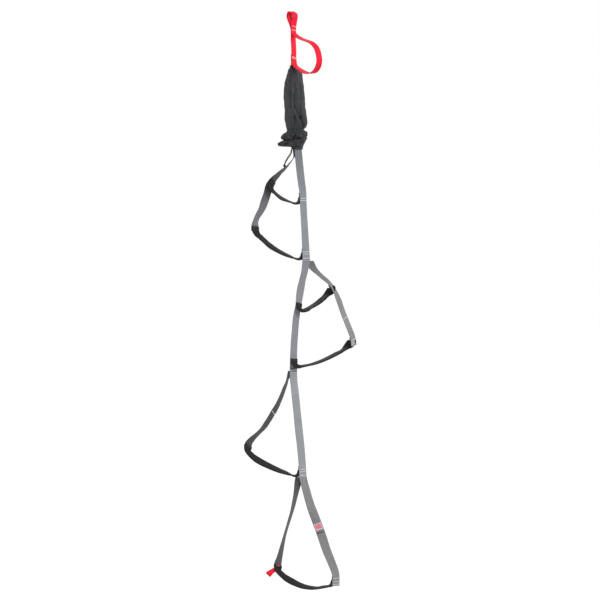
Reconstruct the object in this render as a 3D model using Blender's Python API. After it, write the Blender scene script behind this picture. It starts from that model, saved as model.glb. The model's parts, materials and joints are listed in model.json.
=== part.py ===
"""An etrier: a climbing ladder of flat webbing with six steps, its sling, its hand loop and its stuff sack.

Metres, +Z up, front toward -Y. The origin is inside the crown of the clip-in eye, where a carabiner bears.
"""

import math

import bmesh
import bpy
from mathutils import Vector

# Webbing: grey rails, red sling, black steps
RAIL_WIDTH = 0.025
RAIL_THICK = 0.0018
RED_WIDTH = 0.017
RED_THICK = 0.0016
STEP_WIDTH = 0.025
STEP_THICK = 0.0042
STEP_WALL = 0.0009
SUBSTEP_THICK = 0.003
STRIP_EASE = 0.0009
CLEARANCE = 0.0003
FOLD_GAP = 0.0006
RED_FOLD_GAP = 0.0009

# Heights below the origin
FOLD_1_DROP = 0.056
SPINE_TOP_DROP = 0.1187
SLING_END_DROP = 0.150
NECK_DROP = 0.154
SACK_LENGTH = 0.180
MOUTH_DROP = 0.3856
FOLD_2_DROP = 0.6955
BAY_2_LENGTH = 0.3075
BAY_3_LENGTH = 0.300
BAY_4_LENGTH = 0.308

# Reaches to the sides
BEND_2_REACH = 0.044
BEND_4_REACH = 0.0327
LOOP_1_REACH = 0.131
LOOP_2_REACH = 0.208
LOOP_3_REACH = 0.156
FOOT_LEFT_REACH = 0.054
FOOT_RIGHT_REACH = 0.1456

# Sling
EYE_BACK = 0.0217
EYE_FRONT = 0.009
HAND_LOOP_REACH = 0.126
HAND_LOOP_DROP = 0.1163
EYE_TACK_RISE = 0.0064
SLING_TACK_DROP = 0.128
SLING_TACK_PITCH = 0.0032

# Sack
SACK_HALF_WIDTH = 0.030
SACK_HALF_DEPTH = 0.023
SACK_WALL = 0.0009
BUNCH_HALF_WIDTH = 0.040
BUNCH_HALF_DEPTH = 0.025
BUNCH_LENGTH = 0.040
BUNCH_RISE = 0.0133
CUFF_EASE = 0.0023
CUFF_HALF_DEPTH = 0.0085
CUFF_BACK = 0.003
TIE_HEIGHT = 0.002
CORD_RADIUS = 0.0011
KNOT_RADIUS = 0.0042

# Small pieces
TACK_THICK = 0.0005
TACK_HEIGHT = 0.0016
TACK_INSET = 0.0015
LABEL_WIDTH = 0.021
LABEL_LENGTH = 0.0185
LABEL_THICK = 0.0006
PULL_TAB_LENGTH = 0.027
PULL_TAB_WIDTH = 0.014
PULL_TAB_THICK = 0.0012
PULL_TAB_BULGE = 0.0023
PULL_TAB_TUCK = 0.0077

# How finely the straps are faceted
FACET_LENGTH = 0.02
FACET_LEAST = 0.0015
TAPER_STEP = 0.001
FLATNESS = 0.000001

RAIL_PITCH = RAIL_THICK + CLEARANCE
FOLD_PITCH = RAIL_THICK + FOLD_GAP
BACK_FOLD_PITCH = FOLD_PITCH + FOLD_GAP
RED_PITCH = RED_THICK + CLEARANCE
RED_FOLD_PITCH = RED_THICK + RED_FOLD_GAP
FOLD_3_DROP = FOLD_2_DROP + BAY_2_LENGTH
FOLD_4_DROP = FOLD_3_DROP + BAY_3_LENGTH
STRIP_WIDTH = STEP_WIDTH - 2 * STEP_WALL - 2 * STRIP_EASE
STRIP_THICK = STEP_THICK - 2 * STEP_WALL - 2 * CLEARANCE

SIDE = Vector((1, 0, 0))
BACK = Vector((0, 1, 0))
UP = Vector((0, 0, 1))
SAMPLES = 8
OVAL_POINTS = 32
TURN = math.radians(7)
LEAST_TURN = math.radians(1)
TIP_ANGLES = (math.radians(40), math.radians(75))
LEAD_SHARE = 0.2
LEVEL_SHARES = (1.0, 0.6, 0.25)
DRIFT_SHARE = 0.45


def material(name, colour, roughness):
    made = bpy.data.materials.new(name)
    made.use_nodes = True
    shader = made.node_tree.nodes["Principled BSDF"]
    shader.inputs["Base Color"].default_value = (*colour, 1)
    shader.inputs["Roughness"].default_value = roughness
    shader.inputs["Metallic"].default_value = 0
    return made


def fold_line(name, side, drop):
    empty = bpy.data.objects.new(name, None)
    empty.location = (side, 0, -drop)
    bpy.context.scene.collection.objects.link(empty)
    return empty


def add(name, mesh_data, look, parent=None):
    """Puts a bmesh into the scene as one object, hung from the empty on its fold line."""
    bmesh.ops.recalc_face_normals(mesh_data, faces=mesh_data.faces)
    if mesh_data.calc_volume(signed=True) < 0:
        bmesh.ops.reverse_faces(mesh_data, faces=mesh_data.faces)
    mesh = bpy.data.meshes.new(name)
    mesh_data.to_mesh(mesh)
    mesh_data.free()
    mesh.shade_smooth()
    mesh.set_sharp_from_angle(angle=math.radians(35))
    mesh.materials.append(look)
    made = bpy.data.objects.new(name, mesh)
    bpy.context.scene.collection.objects.link(made)
    if parent:
        made.parent = parent
        made.location = -parent.location
    return made


def slope_at(before, here, after, lead, follow):
    """Slope of the smooth curve at a station, from the chords on its two sides."""
    return ((here - before) / lead * follow + (after - here) / follow * lead) / (lead + follow)


def between(p, q, start_slope, end_slope, chord, t):
    """A point of the smooth curve from p to q."""
    rise = t * t * (3 - 2 * t)
    return (
        p + (q - p) * rise + start_slope * (chord * t * (1 - t) ** 2) - end_slope * (chord * t * t * (1 - t))
    )


def smooth(stations):
    """Samples of a smooth path: stations and samples are (centre, width direction)."""
    chords = [(b[0] - a[0]).length for a, b in zip(stations, stations[1:])]
    last = len(stations) - 1
    slopes = []
    for i in range(last + 1):
        before, after = stations[max(i - 1, 0)], stations[min(i + 1, last)]
        lead, follow = chords[max(i - 1, 0)], chords[min(i, last - 1)]
        slopes.append([slope_at(before[k], stations[i][k], after[k], lead, follow) for k in (0, 1)])
        if i in (0, last):
            slopes[i] = [slope * 2 for slope in slopes[i]]
    path = []
    for i in range(last):
        for j in range(SAMPLES):
            centre, across = (
                between(stations[i][k], stations[i + 1][k], slopes[i][k], slopes[i + 1][k], chords[i], j / SAMPLES)
                for k in (0, 1)
            )
            path.append((centre, across.normalized()))
    path.append((stations[last][0], stations[last][1].normalized()))
    return path


def framed(path, width, taper=None):
    """Frames (centre, travel, across, width) of a path; samples are dropped where the strap runs straight.

    A taper is (end width, drop where it starts, length over which it widens).
    """
    frames = []
    for i, (centre, across) in enumerate(path):
        ahead = path[min(i + 1, len(path) - 1)][0] - path[max(i - 1, 0)][0]
        wide = width
        if taper:
            end_width, drop, length = taper
            share = min(1, max(0, (-centre.z - drop) / length))
            wide = end_width + (width - end_width) * share
        frames.append((centre, ahead.normalized(), across, wide))
    kept = [frames[0]]
    for frame, following in zip(frames[1:-1], frames[2:]):
        held = kept[-1]
        turns = following[1].angle(held[1]) > TURN or following[2].angle(held[2]) > TURN
        long = (following[0] - held[0]).length > FACET_LENGTH and following[1].angle(held[1]) > LEAST_TURN
        if turns or long or abs(following[3] - held[3]) > TAPER_STEP:
            kept.append(frame)
    if len(kept) > 1 and (frames[-1][0] - kept[-1][0]).length < FACET_LEAST:
        kept.pop()
    kept.append(frames[-1])
    return kept


def rolled(points, rolls):
    """Stations from centres and rolls in degrees: 0 lies flat to the front, 90 is a flat step."""
    stations = []
    for i, (point, roll) in enumerate(zip(points, rolls)):
        travel = (points[min(i + 1, len(points) - 1)] - points[max(i - 1, 0)]).normalized()
        flat = travel.cross(BACK).normalized()
        angle = math.radians(roll)
        across = math.cos(angle) * flat + math.sin(angle) * BACK
        across -= across.dot(travel) * travel
        stations.append((point, across.normalized()))
    return stations


def section(frame, thick, inset=0):
    """Four corners of the strap's cross section; an end set skew to the travel is widened to suit."""
    centre, travel, across, width = frame
    half = across * ((width / 2 - inset) / across.cross(travel).length)
    rise = travel.cross(across).normalized() * (thick / 2 - inset)
    return [centre + half + rise, centre - half + rise, centre - half - rise, centre + half - rise]


def rounded_tip(frame, thick, outward):
    """Frames and thicknesses that round off a strap's end."""
    centre, travel, across, width = frame
    tips = []
    for angle in TIP_ANGLES:
        reach = outward * thick / 2 * math.sin(angle)
        tips.append(((centre + travel * reach, travel, across, width), thick * math.cos(angle)))
    return tips


def skin(bm, rings):
    for ring, following in zip(rings, rings[1:]):
        for k in range(len(ring)):
            n = (k + 1) % len(ring)
            bm.faces.new((ring[k], ring[n], following[n], following[k]))


def flat_quad(corners):
    a, b, c, d = (v.co for v in corners)
    normal = (b - a).cross(d - a)
    return abs(normal.dot(c - a)) < FLATNESS * normal.length


def ribbon_skin(bm, rings, crossed_from):
    """Joins the rings of a strap. A twisted stretch is split alike on both faces, so that layers nest."""
    for i, (ring, following) in enumerate(zip(rings, rings[1:])):
        for k in range(4):
            n = (k + 1) % 4
            corners = (ring[k], ring[n], following[n], following[k])
            if flat_quad(corners):
                bm.faces.new(corners)
                continue
            forward = (k % 4 < 2) != (i >= crossed_from)
            if forward:
                bm.faces.new(corners[:3])
                bm.faces.new((corners[0], corners[2], corners[3]))
            else:
                bm.faces.new((corners[0], corners[1], corners[3]))
                bm.faces.new(corners[1:])


def strap(name, frames, thick, look, parent=None, round_ends=(False, False), wall=0, crossed_from=None):
    """A flat strap along its frames; with a wall it is a sleeve, open at both ends."""
    bm = bmesh.new()
    sized = [(frame, thick) for frame in frames]
    if round_ends[0]:
        sized = list(reversed(rounded_tip(frames[0], thick, -1))) + sized
    if round_ends[1]:
        sized += rounded_tip(frames[-1], thick, 1)
    crossed_from = len(sized) if crossed_from is None else crossed_from
    rings = [[bm.verts.new(v) for v in section(frame, high)] for frame, high in sized]
    ribbon_skin(bm, rings, crossed_from)
    if wall:
        inner = [[bm.verts.new(v) for v in section(frame, high, wall)] for frame, high in sized]
        ribbon_skin(bm, inner, crossed_from)
        for end in (0, -1):
            for k in range(4):
                n = (k + 1) % 4
                bm.faces.new((rings[end][k], rings[end][n], inner[end][n], inner[end][k]))
    else:
        bm.faces.new(rings[0])
        bm.faces.new(rings[-1])
    return add(name, bm, look, parent)


def rail(top_drop, length, reach, shares, from_reach=0, flat_end=False, taper=None, marks=()):
    """Frames of a rail: each row is (across share, down share, roll, layers back)."""
    points = [
        Vector((from_reach + (reach - from_reach) * x, RAIL_PITCH * layers, -(top_drop + length * down)))
        for x, down, roll, layers in shares
    ]
    stations = rolled(points, [row[2] for row in shares])
    for level_share, i in zip(LEVEL_SHARES, range(len(LEVEL_SHARES))):
        centre, across = stations[i]
        stations[i] = (centre, (SIDE * level_share + across * (1 - level_share)).normalized())
    if flat_end:
        stations[-1] = (stations[-1][0], SIDE.copy())
    frames = framed(smooth(stations), RAIL_WIDTH, taper)
    for mark in marks:
        frame = at_drop(frames, level(top_drop, length, mark))[0]
        frames = [other for other in frames if (other[0] - frame[0]).length > FACET_LEAST]
        frames.insert(sum(other[0].z > frame[0].z for other in frames), frame)
    return frames


def at_drop(frames, drop):
    """The frame of a rail at a height, and how many of its frames lie above."""
    for i, (a, b) in enumerate(zip(frames, frames[1:])):
        if a[0].z >= -drop >= b[0].z:
            t = (a[0].z + drop) / (a[0].z - b[0].z)
            centre, travel, across = (a[k].lerp(b[k], t) for k in range(3))
            return (centre, travel.normalized(), across.normalized(), a[3]), i + 1
    centre, travel, across, width = frames[-1]
    return (centre - travel * ((drop + centre.z) / travel.z), travel, across, width), len(frames)


def on_rail(frames, top, end, offset, width, upward=False):
    """Frames of a layer that lies along a rail's face from one height down to another."""
    first, start = at_drop(frames, top)
    last, stop = at_drop(frames, end)
    inside = [
        frame for frame in frames[start:stop]
        if min((frame[0] - end[0]).length for end in (first, last)) > CLEARANCE
    ]
    layer = []
    for centre, travel, across, _ in [first] + inside + [last]:
        front = travel.cross(across).normalized()
        layer.append((centre + front * offset, -travel if upward else travel, across, width))
    return list(reversed(layer)) if upward else layer


# Ways from a tab to the flat step, in shares of the step's width: (in, out, down, roll). The outer edge of
# the webbing comes forward round the rail and the inner edge goes back beside it.
LEVEL_CORNER_SHARES = (
    (0.025, 0.07, 0.20, 8), (0.10, 0.14, 0.38, 17), (0.22, 0.21, 0.54, 26), (0.37, 0.26, 0.67, 36),
    (0.54, 0.275, 0.76, 55), (0.67, 0.26, 0.80, 70), (0.82, 0.235, 0.83, 82),
)
STEEP_CORNER_SHARES = (
    (0.02, 0.07, 0.20, 8), (0.08, 0.14, 0.39, 17), (0.19, 0.21, 0.56, 27), (0.33, 0.26, 0.70, 38),
    (0.48, 0.275, 0.82, 54), (0.64, 0.27, 0.94, 68), (0.80, 0.25, 1.05, 80),
)
LEAN_CORNER_SHARES = (
    (0.02, 0.04, 0.20, 10), (0.08, 0.08, 0.39, 21), (0.18, 0.11, 0.56, 32), (0.32, 0.13, 0.71, 42),
    (0.48, 0.14, 0.84, 50), (0.64, 0.14, 0.96, 55), (0.80, 0.14, 1.08, 58),
)


def corner(tab_end, side, shares):
    """Centres and rolls from a tab's end to the flat step; side is 1 at the left tab, -1 at the right."""
    anchor, travel, across, _ = tab_end
    lean = math.degrees(math.asin(across.y))
    drift = UP - travel / travel.z
    points = []
    rolls = []
    for x, out, down, roll in shares:
        carried = DRIFT_SHARE * (1 - math.exp(-down / DRIFT_SHARE))
        points.append(anchor + STEP_WIDTH * (Vector((side * x, -side * out, -down)) + drift * carried))
        turned = lean + roll * (1 - lean / 90)
        rolls.append(turned if side > 0 else 180 - turned)
    return points, rolls


def step(name, left, right, shares, thick, look, parent, wall=0):
    """A step between two rails. left and right are (rail, tab top, tab end, corner shares).

    Each row of shares is (along share, sag share, roll) between the two corners.
    """
    offset = (RAIL_THICK + thick) / 2 + CLEARANCE
    near = on_rail(left[0], left[1], left[2], offset, STEP_WIDTH)
    far = on_rail(right[0], right[1], right[2], -offset, STEP_WIDTH, upward=True)
    points, rolls = corner(near[-1], 1, left[3])
    far_points, far_rolls = corner(far[0], -1, right[3])
    start, finish = points[-1], far_points[-1]
    reach = (finish - start).length
    for along, sag, roll in shares:
        points.append(start.lerp(finish, along) - UP * (sag * reach))
        rolls.append(roll)
    points += reversed(far_points)
    rolls += reversed(far_rolls)
    points = [near[-1][0]] + points + [far[0][0]]
    middle = rolled(points, [0] + rolls + [180])[1:-1]
    lead = near[-1][0] - near[-1][1] * (STEP_WIDTH * LEAD_SHARE), far[0][0] + far[0][1] * (STEP_WIDTH * LEAD_SHARE)
    path = [(lead[0], near[-1][2]), (near[-1][0], near[-1][2])] + middle + [(far[0][0], far[0][2]), (lead[1], far[0][2])]
    path = smooth(path)[SAMPLES:-SAMPLES]
    bend = framed(path, STEP_WIDTH)[1:-1]
    strap(name, near + bend + far, thick, look, parent, wall=wall, crossed_from=len(near + bend))
    return [frame for frame in bend if start.x <= frame[0].x <= finish.x]


def strip(name, bend, parent):
    """The flat strip inside a step's sleeve, along its flat stretch."""
    inner = [(centre, travel, across, STRIP_WIDTH) for centre, travel, across, _ in bend]
    return strap(name, inner, STRIP_THICK, plastic, parent)


def bars(name, places, width, look, parent, slant=0):
    """Bar tacks: short raised rows of thread across a strap's front face, one object each."""
    for number, (centre, across, front) in enumerate(places, 1):
        bm = bmesh.new()
        lean = (across + across.cross(front).normalized() * slant).normalized()
        half = lean * (width / 2 - TACK_INSET)
        high = lean.cross(front).normalized() * (TACK_HEIGHT / 2)
        deep = front * (TACK_THICK / 2)
        rings = [
            [bm.verts.new(centre + half * k + v) for v in (high + deep, deep - high, -high - deep, high - deep)]
            for k in (-1, 1)
        ]
        skin(bm, rings)
        bm.faces.new(rings[0])
        bm.faces.new(rings[1])
        add(f"{name}_{number}", bm, look, parent)


def tack_places(frames, drops):
    places = []
    for drop in drops:
        (centre, travel, across, _), _ = at_drop(frames, drop)
        front = travel.cross(across).normalized()
        places.append((centre + front * ((RAIL_THICK + TACK_THICK) / 2 + CLEARANCE), across, front))
    return places


def oval(bm, centre, half_width, half_depth, slope, square=2.6):
    """A ring of a rounded oval, tilted so that its left side hangs lower."""
    ring = []
    for k in range(OVAL_POINTS):
        angle = 2 * math.pi * k / OVAL_POINTS
        c, s = math.cos(angle), math.sin(angle)
        x = half_width * math.copysign(abs(c) ** (2 / square), c)
        y = half_depth * math.copysign(abs(s) ** (2 / square), s)
        ring.append(bm.verts.new(centre + Vector((x, y, slope * x))))
    return ring


def cloth_tube(name, outer, inner, look, parent, square=2.2, inner_square=2.2):
    """A hollow cloth piece open at both ends; rows are (centre, half width, half depth, slope)."""
    bm = bmesh.new()
    skins = []
    for rows, corners in ((outer, square), (inner, inner_square)):
        rings = [oval(bm, *row, square=corners) for row in rows]
        skin(bm, rings)
        skins.append(rings)
    for end in (0, -1):
        a, b = skins[0][end], skins[1][end]
        for k in range(len(a)):
            n = (k + 1) % len(a)
            bm.faces.new((a[k], a[n], b[n], b[k]))
    return add(name, bm, look, parent)


def cord(name, points, look, parent):
    curve = bpy.data.curves.new(name, "CURVE")
    curve.dimensions = "3D"
    curve.bevel_depth = CORD_RADIUS
    curve.bevel_resolution = 2
    curve.use_fill_caps = True
    spline = curve.splines.new("POLY")
    spline.points.add(len(points) - 1)
    for place, point in zip(spline.points, points):
        place.co = (*point, 1)
    curve.materials.append(look)
    made = bpy.data.objects.new(name, curve)
    bpy.context.scene.collection.objects.link(made)
    made.parent = parent
    made.location = -parent.location
    return made


for thing in list(bpy.data.objects):
    bpy.data.objects.remove(thing, do_unlink=True)

red = material("red_webbing", (0.62, 0.012, 0.035), 0.55)
pale_thread = material("pale_thread", (0.75, 0.55, 0.55), 0.7)
grey = material("grey_webbing", (0.22, 0.23, 0.25), 0.6)
warm_grey = material("warm_grey_webbing", (0.21, 0.21, 0.20), 0.6)
dark_grey = material("dark_grey_webbing", (0.10, 0.10, 0.105), 0.65)
black = material("black_webbing", (0.03, 0.03, 0.032), 0.7)
grey_thread = material("grey_thread", (0.16, 0.16, 0.17), 0.7)
plastic = material("stiffener_plastic", (0.5, 0.5, 0.48), 0.4)
cloth = material("sack_cloth", (0.035, 0.036, 0.042), 0.75)
cord_look = material("black_cord", (0.02, 0.02, 0.022), 0.7)

fold_1 = fold_line("fold_1", 0, FOLD_1_DROP)
fold_2 = fold_line("fold_2", BEND_2_REACH, FOLD_2_DROP)
fold_3 = fold_line("fold_3", 0, FOLD_3_DROP)
fold_4 = fold_line("fold_4", BEND_4_REACH, FOLD_4_DROP)

# The clip-in eye: red webbing doubled back on itself, its crown leaning back.
# Rows are (share of the front or back reach, share of the height).
EYE_FRONT_SHARES = (
    (-0.106, 1.0), (-0.106, 0.93), (-0.12, 0.80), (-0.36, 0.62), (-0.60, 0.47), (-0.88, 0.33), (-1.0, 0.215),
    (-0.62, 0.115),
)
EYE_BACK_SHARES = (
    (0.20, 0.035), (0.46, 0.003), (0.66, -0.005), (0.86, 0.06), (0.985, 0.15), (1.0, 0.24), (0.90, 0.35),
    (0.71, 0.46), (0.48, 0.58), (0.29, 0.71), (0.14, 0.83), (0.044, 0.94), (0.044, 1.0),
)
eye_path = [Vector((0, EYE_FRONT * y, -FOLD_1_DROP * z)) for y, z in EYE_FRONT_SHARES]
eye_path += [Vector((0, EYE_BACK * y, -FOLD_1_DROP * z)) for y, z in EYE_BACK_SHARES]
eye_path[0].y = eye_path[1].y = -RED_PITCH / 2
eye_path[-1].y = eye_path[-2].y = RED_PITCH / 2
eye = framed(smooth([(p, SIDE) for p in eye_path]), RED_WIDTH)
strap("clip_in_eye", eye, RED_THICK, red, round_ends=(True, True))

neck_face = -(RED_PITCH / 2 + RED_THICK / 2 + CLEARANCE + TACK_THICK / 2)
eye_bar = Vector((0, neck_face, -FOLD_1_DROP + EYE_TACK_RISE))
bars("eye_bar_tack", [(eye_bar, SIDE, -BACK)], RED_WIDTH, pale_thread, None)

# The sling strand runs down to the front of the spine's top, and the hand loop stands off in front of it.
strand_y = -(RAIL_THICK + RED_THICK) / 2 - CLEARANCE
SLING_SHARES = ((-0.48, 0.0), (-0.48, 0.08), (0.0, 0.3), (0.8, 0.5), (1.0, 0.62), (1.0, 1.0))
sling_top = FOLD_1_DROP + RED_FOLD_PITCH
sling_path = [
    Vector((0, strand_y * y, -(sling_top + (SLING_END_DROP - sling_top) * z))) for y, z in SLING_SHARES
]
sling_path[0].y = sling_path[1].y = RED_PITCH / 2
sling = framed(smooth([(p, SIDE) for p in sling_path]), RED_WIDTH)
strap("sling_strand", sling, RED_THICK, red, fold_1, (True, True))

# Rows are (share of the reach to the front, share of the height below the fold).
HAND_LOOP_SHARES = (
    (0.0076, 0.0), (0.04, 0.035), (0.08, 0.06), (0.155, 0.10), (0.34, 0.17), (0.53, 0.215), (0.71, 0.27),
    (0.90, 0.41), (0.985, 0.60), (1.0, 0.71), (0.965, 0.825), (0.86, 0.94), (0.675, 1.0), (0.53, 0.99),
    (0.34, 0.93), (0.155, 0.85), (0.07, 0.80), (0.037, 0.75), (0.031, 0.71), (0.031, 0.66),
)
loop_path = [
    Vector((0, -HAND_LOOP_REACH * y, -(sling_top + HAND_LOOP_DROP * z))) for y, z in HAND_LOOP_SHARES
]
loop_path[0].y = -RED_PITCH / 2
loop_path[-1].y = loop_path[-2].y = strand_y - RED_PITCH
loop = framed(smooth([(p, SIDE) for p in loop_path]), RED_WIDTH)
strap("hand_loop", loop, RED_THICK, red, fold_1, (True, True))

sling_tack_face = strand_y - RED_THICK / 2 - CLEARANCE - TACK_THICK / 2
sling_bars = [
    (Vector((0, sling_tack_face, -(SLING_TACK_DROP + SLING_TACK_PITCH * k))), SIDE, -BACK) for k in range(2)
]
bars("sling_bar_tack", sling_bars, RED_WIDTH, pale_thread, fold_1)


def level(top, length, share):
    return top + length * share


# Heights of the steps' tabs, in shares of their bay
TREAD_1_TOP_SHARE, TREAD_1_END_SHARE = 0.614, 0.634
TREAD_1_BACK_TOP_SHARE, TREAD_1_BACK_END_SHARE = 0.672, 0.686
TREAD_2_TOP_SHARE, TREAD_2_END_SHARE = 0.838, 0.855
TREAD_2_BACK_TOP_SHARE, TREAD_2_BACK_END_SHARE = 0.943, 0.957
TREAD_3_TOP_SHARE, TREAD_3_END_SHARE = 0.381, 0.401
TREAD_3_BACK_TOP_SHARE, TREAD_3_BACK_END_SHARE = 0.165, 0.183
TREAD_4_TOP_SHARE, TREAD_4_END_SHARE = 0.893, 0.912
TREAD_4_BACK_TOP_SHARE, TREAD_4_BACK_END_SHARE = 0.697, 0.717
TREAD_5_TOP_SHARE, TREAD_5_END_SHARE = 0.695, 0.718
TREAD_5_BACK_TOP_SHARE, TREAD_5_BACK_END_SHARE = 0.897, 0.917
TREAD_6_TOP_SHARE, TREAD_6_END_SHARE = 0.796, 0.815
TREAD_6_BACK_TOP_SHARE, TREAD_6_BACK_END_SHARE = 0.908, 0.929
spine_1_length = FOLD_2_DROP - SPINE_TOP_DROP
bay_1 = (SPINE_TOP_DROP, spine_1_length)
bay_2 = (FOLD_2_DROP + FOLD_PITCH, BAY_2_LENGTH - FOLD_PITCH)
bay_3 = (FOLD_3_DROP + FOLD_PITCH, BAY_3_LENGTH - FOLD_PITCH)
bay_3_back = (FOLD_3_DROP + BACK_FOLD_PITCH, BAY_3_LENGTH - BACK_FOLD_PITCH)
bay_4 = (FOLD_4_DROP + FOLD_PITCH, BAY_4_LENGTH - FOLD_PITCH)

# Rails. Rows are (across share, down share, roll, layers back).
SPINE_1_SHARES = (
    (0.0, 0.0, 0, 0), (0.0, 0.06, 0, 0), (0.10, 0.25, 0, 0), (0.37, 0.47, 0, 0), (0.61, 0.615, 2, 0),
    (0.735, 0.675, 6, 0), (0.77, 0.73, 8, 0), (0.90, 0.874, 7, 0), (0.985, 0.982, 0, 0), (1.0, 1.0, 0, 0),
)
LEG_1_SHARES = (
    (0.11, 0.408, 0, 1.5), (0.105, 0.446, 6, 1.9), (0.095, 0.465, 12, 2.4), (0.042, 0.494, 46, 2.6),
    (0.002, 0.511, 62, 1.7), (-0.089, 0.532, 58, 1.0), (-0.193, 0.554, 54, 0.6), (-0.292, 0.569, 48, 0.3),
    (-0.37, 0.583, 39, 0), (-0.443, 0.597, 33, 0), (-0.522, 0.612, 20, 0), (-0.624, 0.641, 2, 0),
    (-0.69, 0.684, 2, 0), (-0.773, 0.729, 0, 0), (-0.835, 0.758, 15, 0), (-0.926, 0.787, 24, 0),
    (-0.98, 0.813, 20, 0), (-1.0, 0.835, 4, 0), (-1.0, 0.860, 0, 0),
)
SPINE_2_SHARES = (
    (1.0, 0.0, 0, 0), (0.965, 0.03, 3, 0), (0.88, 0.09, 13, 0), (0.72, 0.17, 12, 0), (0.57, 0.255, 3, 0),
    (0.49, 0.31, 5, 0), (0.405, 0.39, 15, 0), (0.21, 0.53, 9, 0), (0.13, 0.64, 9, 0), (0.05, 0.77, 8, 0),
    (0.01, 0.91, 4, 0), (0.0, 1.0, 0, 0),
)
LEG_2_SHARES = (
    (0.264, 0.0, 0, 1.4), (0.31, 0.036, 10, 2.6), (0.355, 0.068, 24, 3), (0.393, 0.091, 32, 2.8),
    (0.487, 0.146, 42, 1.8), (0.593, 0.20, 43, 0.7), (0.659, 0.255, 40, 0), (0.73, 0.337, 26, 0), (0.818, 0.474, 23, 0),
    (0.934, 0.638, 22, 0), (0.976, 0.70, 20, 0), (1.0, 0.780, 18, 0),
)
SPINE_3_SHARES = (
    (0.0, 0.0, 0, 0), (0.0, 0.045, 0, 0), (0.04, 0.095, 4, 0), (0.17, 0.20, 1, 0), (0.385, 0.39, -1, 0), (0.575, 0.56, -4, 0),
    (0.78, 0.73, -1, 0), (0.91, 0.87, 1, 0), (1.0, 1.0, 0, 0),
)
LEG_3_SHARES = (
    (-0.045, 0.0, 0, 1.2), (-0.085, 0.045, 25, 2.2), (-0.127, 0.114, 41, 2.2), (-0.187, 0.17, 35, 1.6),
    (-0.241, 0.226, 34, 0.9), (-0.303, 0.282, 32, 0.3), (-0.368, 0.338, 28, 0), (-0.447, 0.394, 26, 0),
    (-0.524, 0.45, 27, 0), (-0.609, 0.506, 28, 0), (-0.717, 0.562, 40, 0), (-0.845, 0.617, 40, 0),
    (-0.935, 0.657, 32, 0), (-0.982, 0.69, 18, 0), (-1.0, 0.715, 6, 0),
)
LEG_4_RIGHT_SHARES = (
    (0.0, 0.0, 0, 0), (0.10, 0.118, -9, 0), (0.23, 0.255, -14, 0), (0.395, 0.39, -35, 0),
    (0.56, 0.527, -37, 0), (0.71, 0.664, -16, 0), (0.89, 0.80, -5, 0), (0.985, 0.88, 0, 0), (1.0, 1.0, 0, 0),
)
LEG_4_LEFT_SHARES = (
    (0.39, 0.0, 0, 1.2), (0.35, 0.04, 10, 2), (0.30, 0.09, 20, 2.6), (0.19, 0.173, 27, 2.6), (0.08, 0.227, 30, 1.6),
    (-0.095, 0.31, 37, 0.3), (-0.267, 0.39, 40, 0), (-0.495, 0.50, 41, 0), (-0.64, 0.582, 35, 0),
    (-0.772, 0.664, 26, 0), (-0.906, 0.745, 19, 0), (-0.985, 0.79, 8, 0), (-1.0, 0.808, 2, 0),
)
spine_1 = rail(
    *bay_1, BEND_2_REACH, SPINE_1_SHARES, flat_end=True, taper=(RED_WIDTH, NECK_DROP, NECK_DROP - SPINE_TOP_DROP),
    marks=(TREAD_1_BACK_TOP_SHARE, TREAD_1_BACK_END_SHARE, TREAD_2_BACK_TOP_SHARE, TREAD_2_BACK_END_SHARE),
)
leg_1 = rail(
    *bay_1, LOOP_1_REACH, LEG_1_SHARES,
    marks=(TREAD_1_TOP_SHARE, TREAD_1_END_SHARE, TREAD_2_TOP_SHARE, TREAD_2_END_SHARE),
)
spine_2 = rail(
    *bay_2, BEND_2_REACH, SPINE_2_SHARES, flat_end=True,
    marks=(TREAD_3_TOP_SHARE, TREAD_3_END_SHARE, TREAD_4_TOP_SHARE, TREAD_4_END_SHARE),
)
leg_2 = rail(
    *bay_2, LOOP_2_REACH, LEG_2_SHARES,
    marks=(TREAD_3_BACK_TOP_SHARE, TREAD_3_BACK_END_SHARE, TREAD_4_BACK_TOP_SHARE, TREAD_4_BACK_END_SHARE),
)
spine_3 = rail(
    *bay_3, BEND_4_REACH, SPINE_3_SHARES, flat_end=True, marks=(TREAD_5_BACK_TOP_SHARE, TREAD_5_BACK_END_SHARE),
)
leg_3 = rail(*bay_3_back, LOOP_3_REACH, LEG_3_SHARES, marks=(TREAD_5_TOP_SHARE,))
leg_4_right = rail(
    *bay_4, FOOT_RIGHT_REACH, LEG_4_RIGHT_SHARES, from_reach=BEND_4_REACH,
    marks=(TREAD_6_BACK_TOP_SHARE, TREAD_6_BACK_END_SHARE),
)
leg_4_left = rail(*bay_4, FOOT_LEFT_REACH, LEG_4_LEFT_SHARES, marks=(TREAD_6_TOP_SHARE,))

strap("spine_1", spine_1, RAIL_THICK, grey, fold_1, (True, True))
strap("leg_1", leg_1, RAIL_THICK, dark_grey, fold_1)
strap("spine_2", spine_2, RAIL_THICK, grey, fold_2, (True, True))
strap("leg_2", leg_2, RAIL_THICK, warm_grey, fold_2, (True, False))
strap("spine_3", spine_3, RAIL_THICK, grey, fold_3, (True, True))
strap("leg_3", leg_3, RAIL_THICK, dark_grey, fold_3, (True, False))
strap("leg_4_right", leg_4_right, RAIL_THICK, grey, fold_4, (True, False))
strap("leg_4_left", leg_4_left, RAIL_THICK, dark_grey, fold_4, (True, False))


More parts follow.
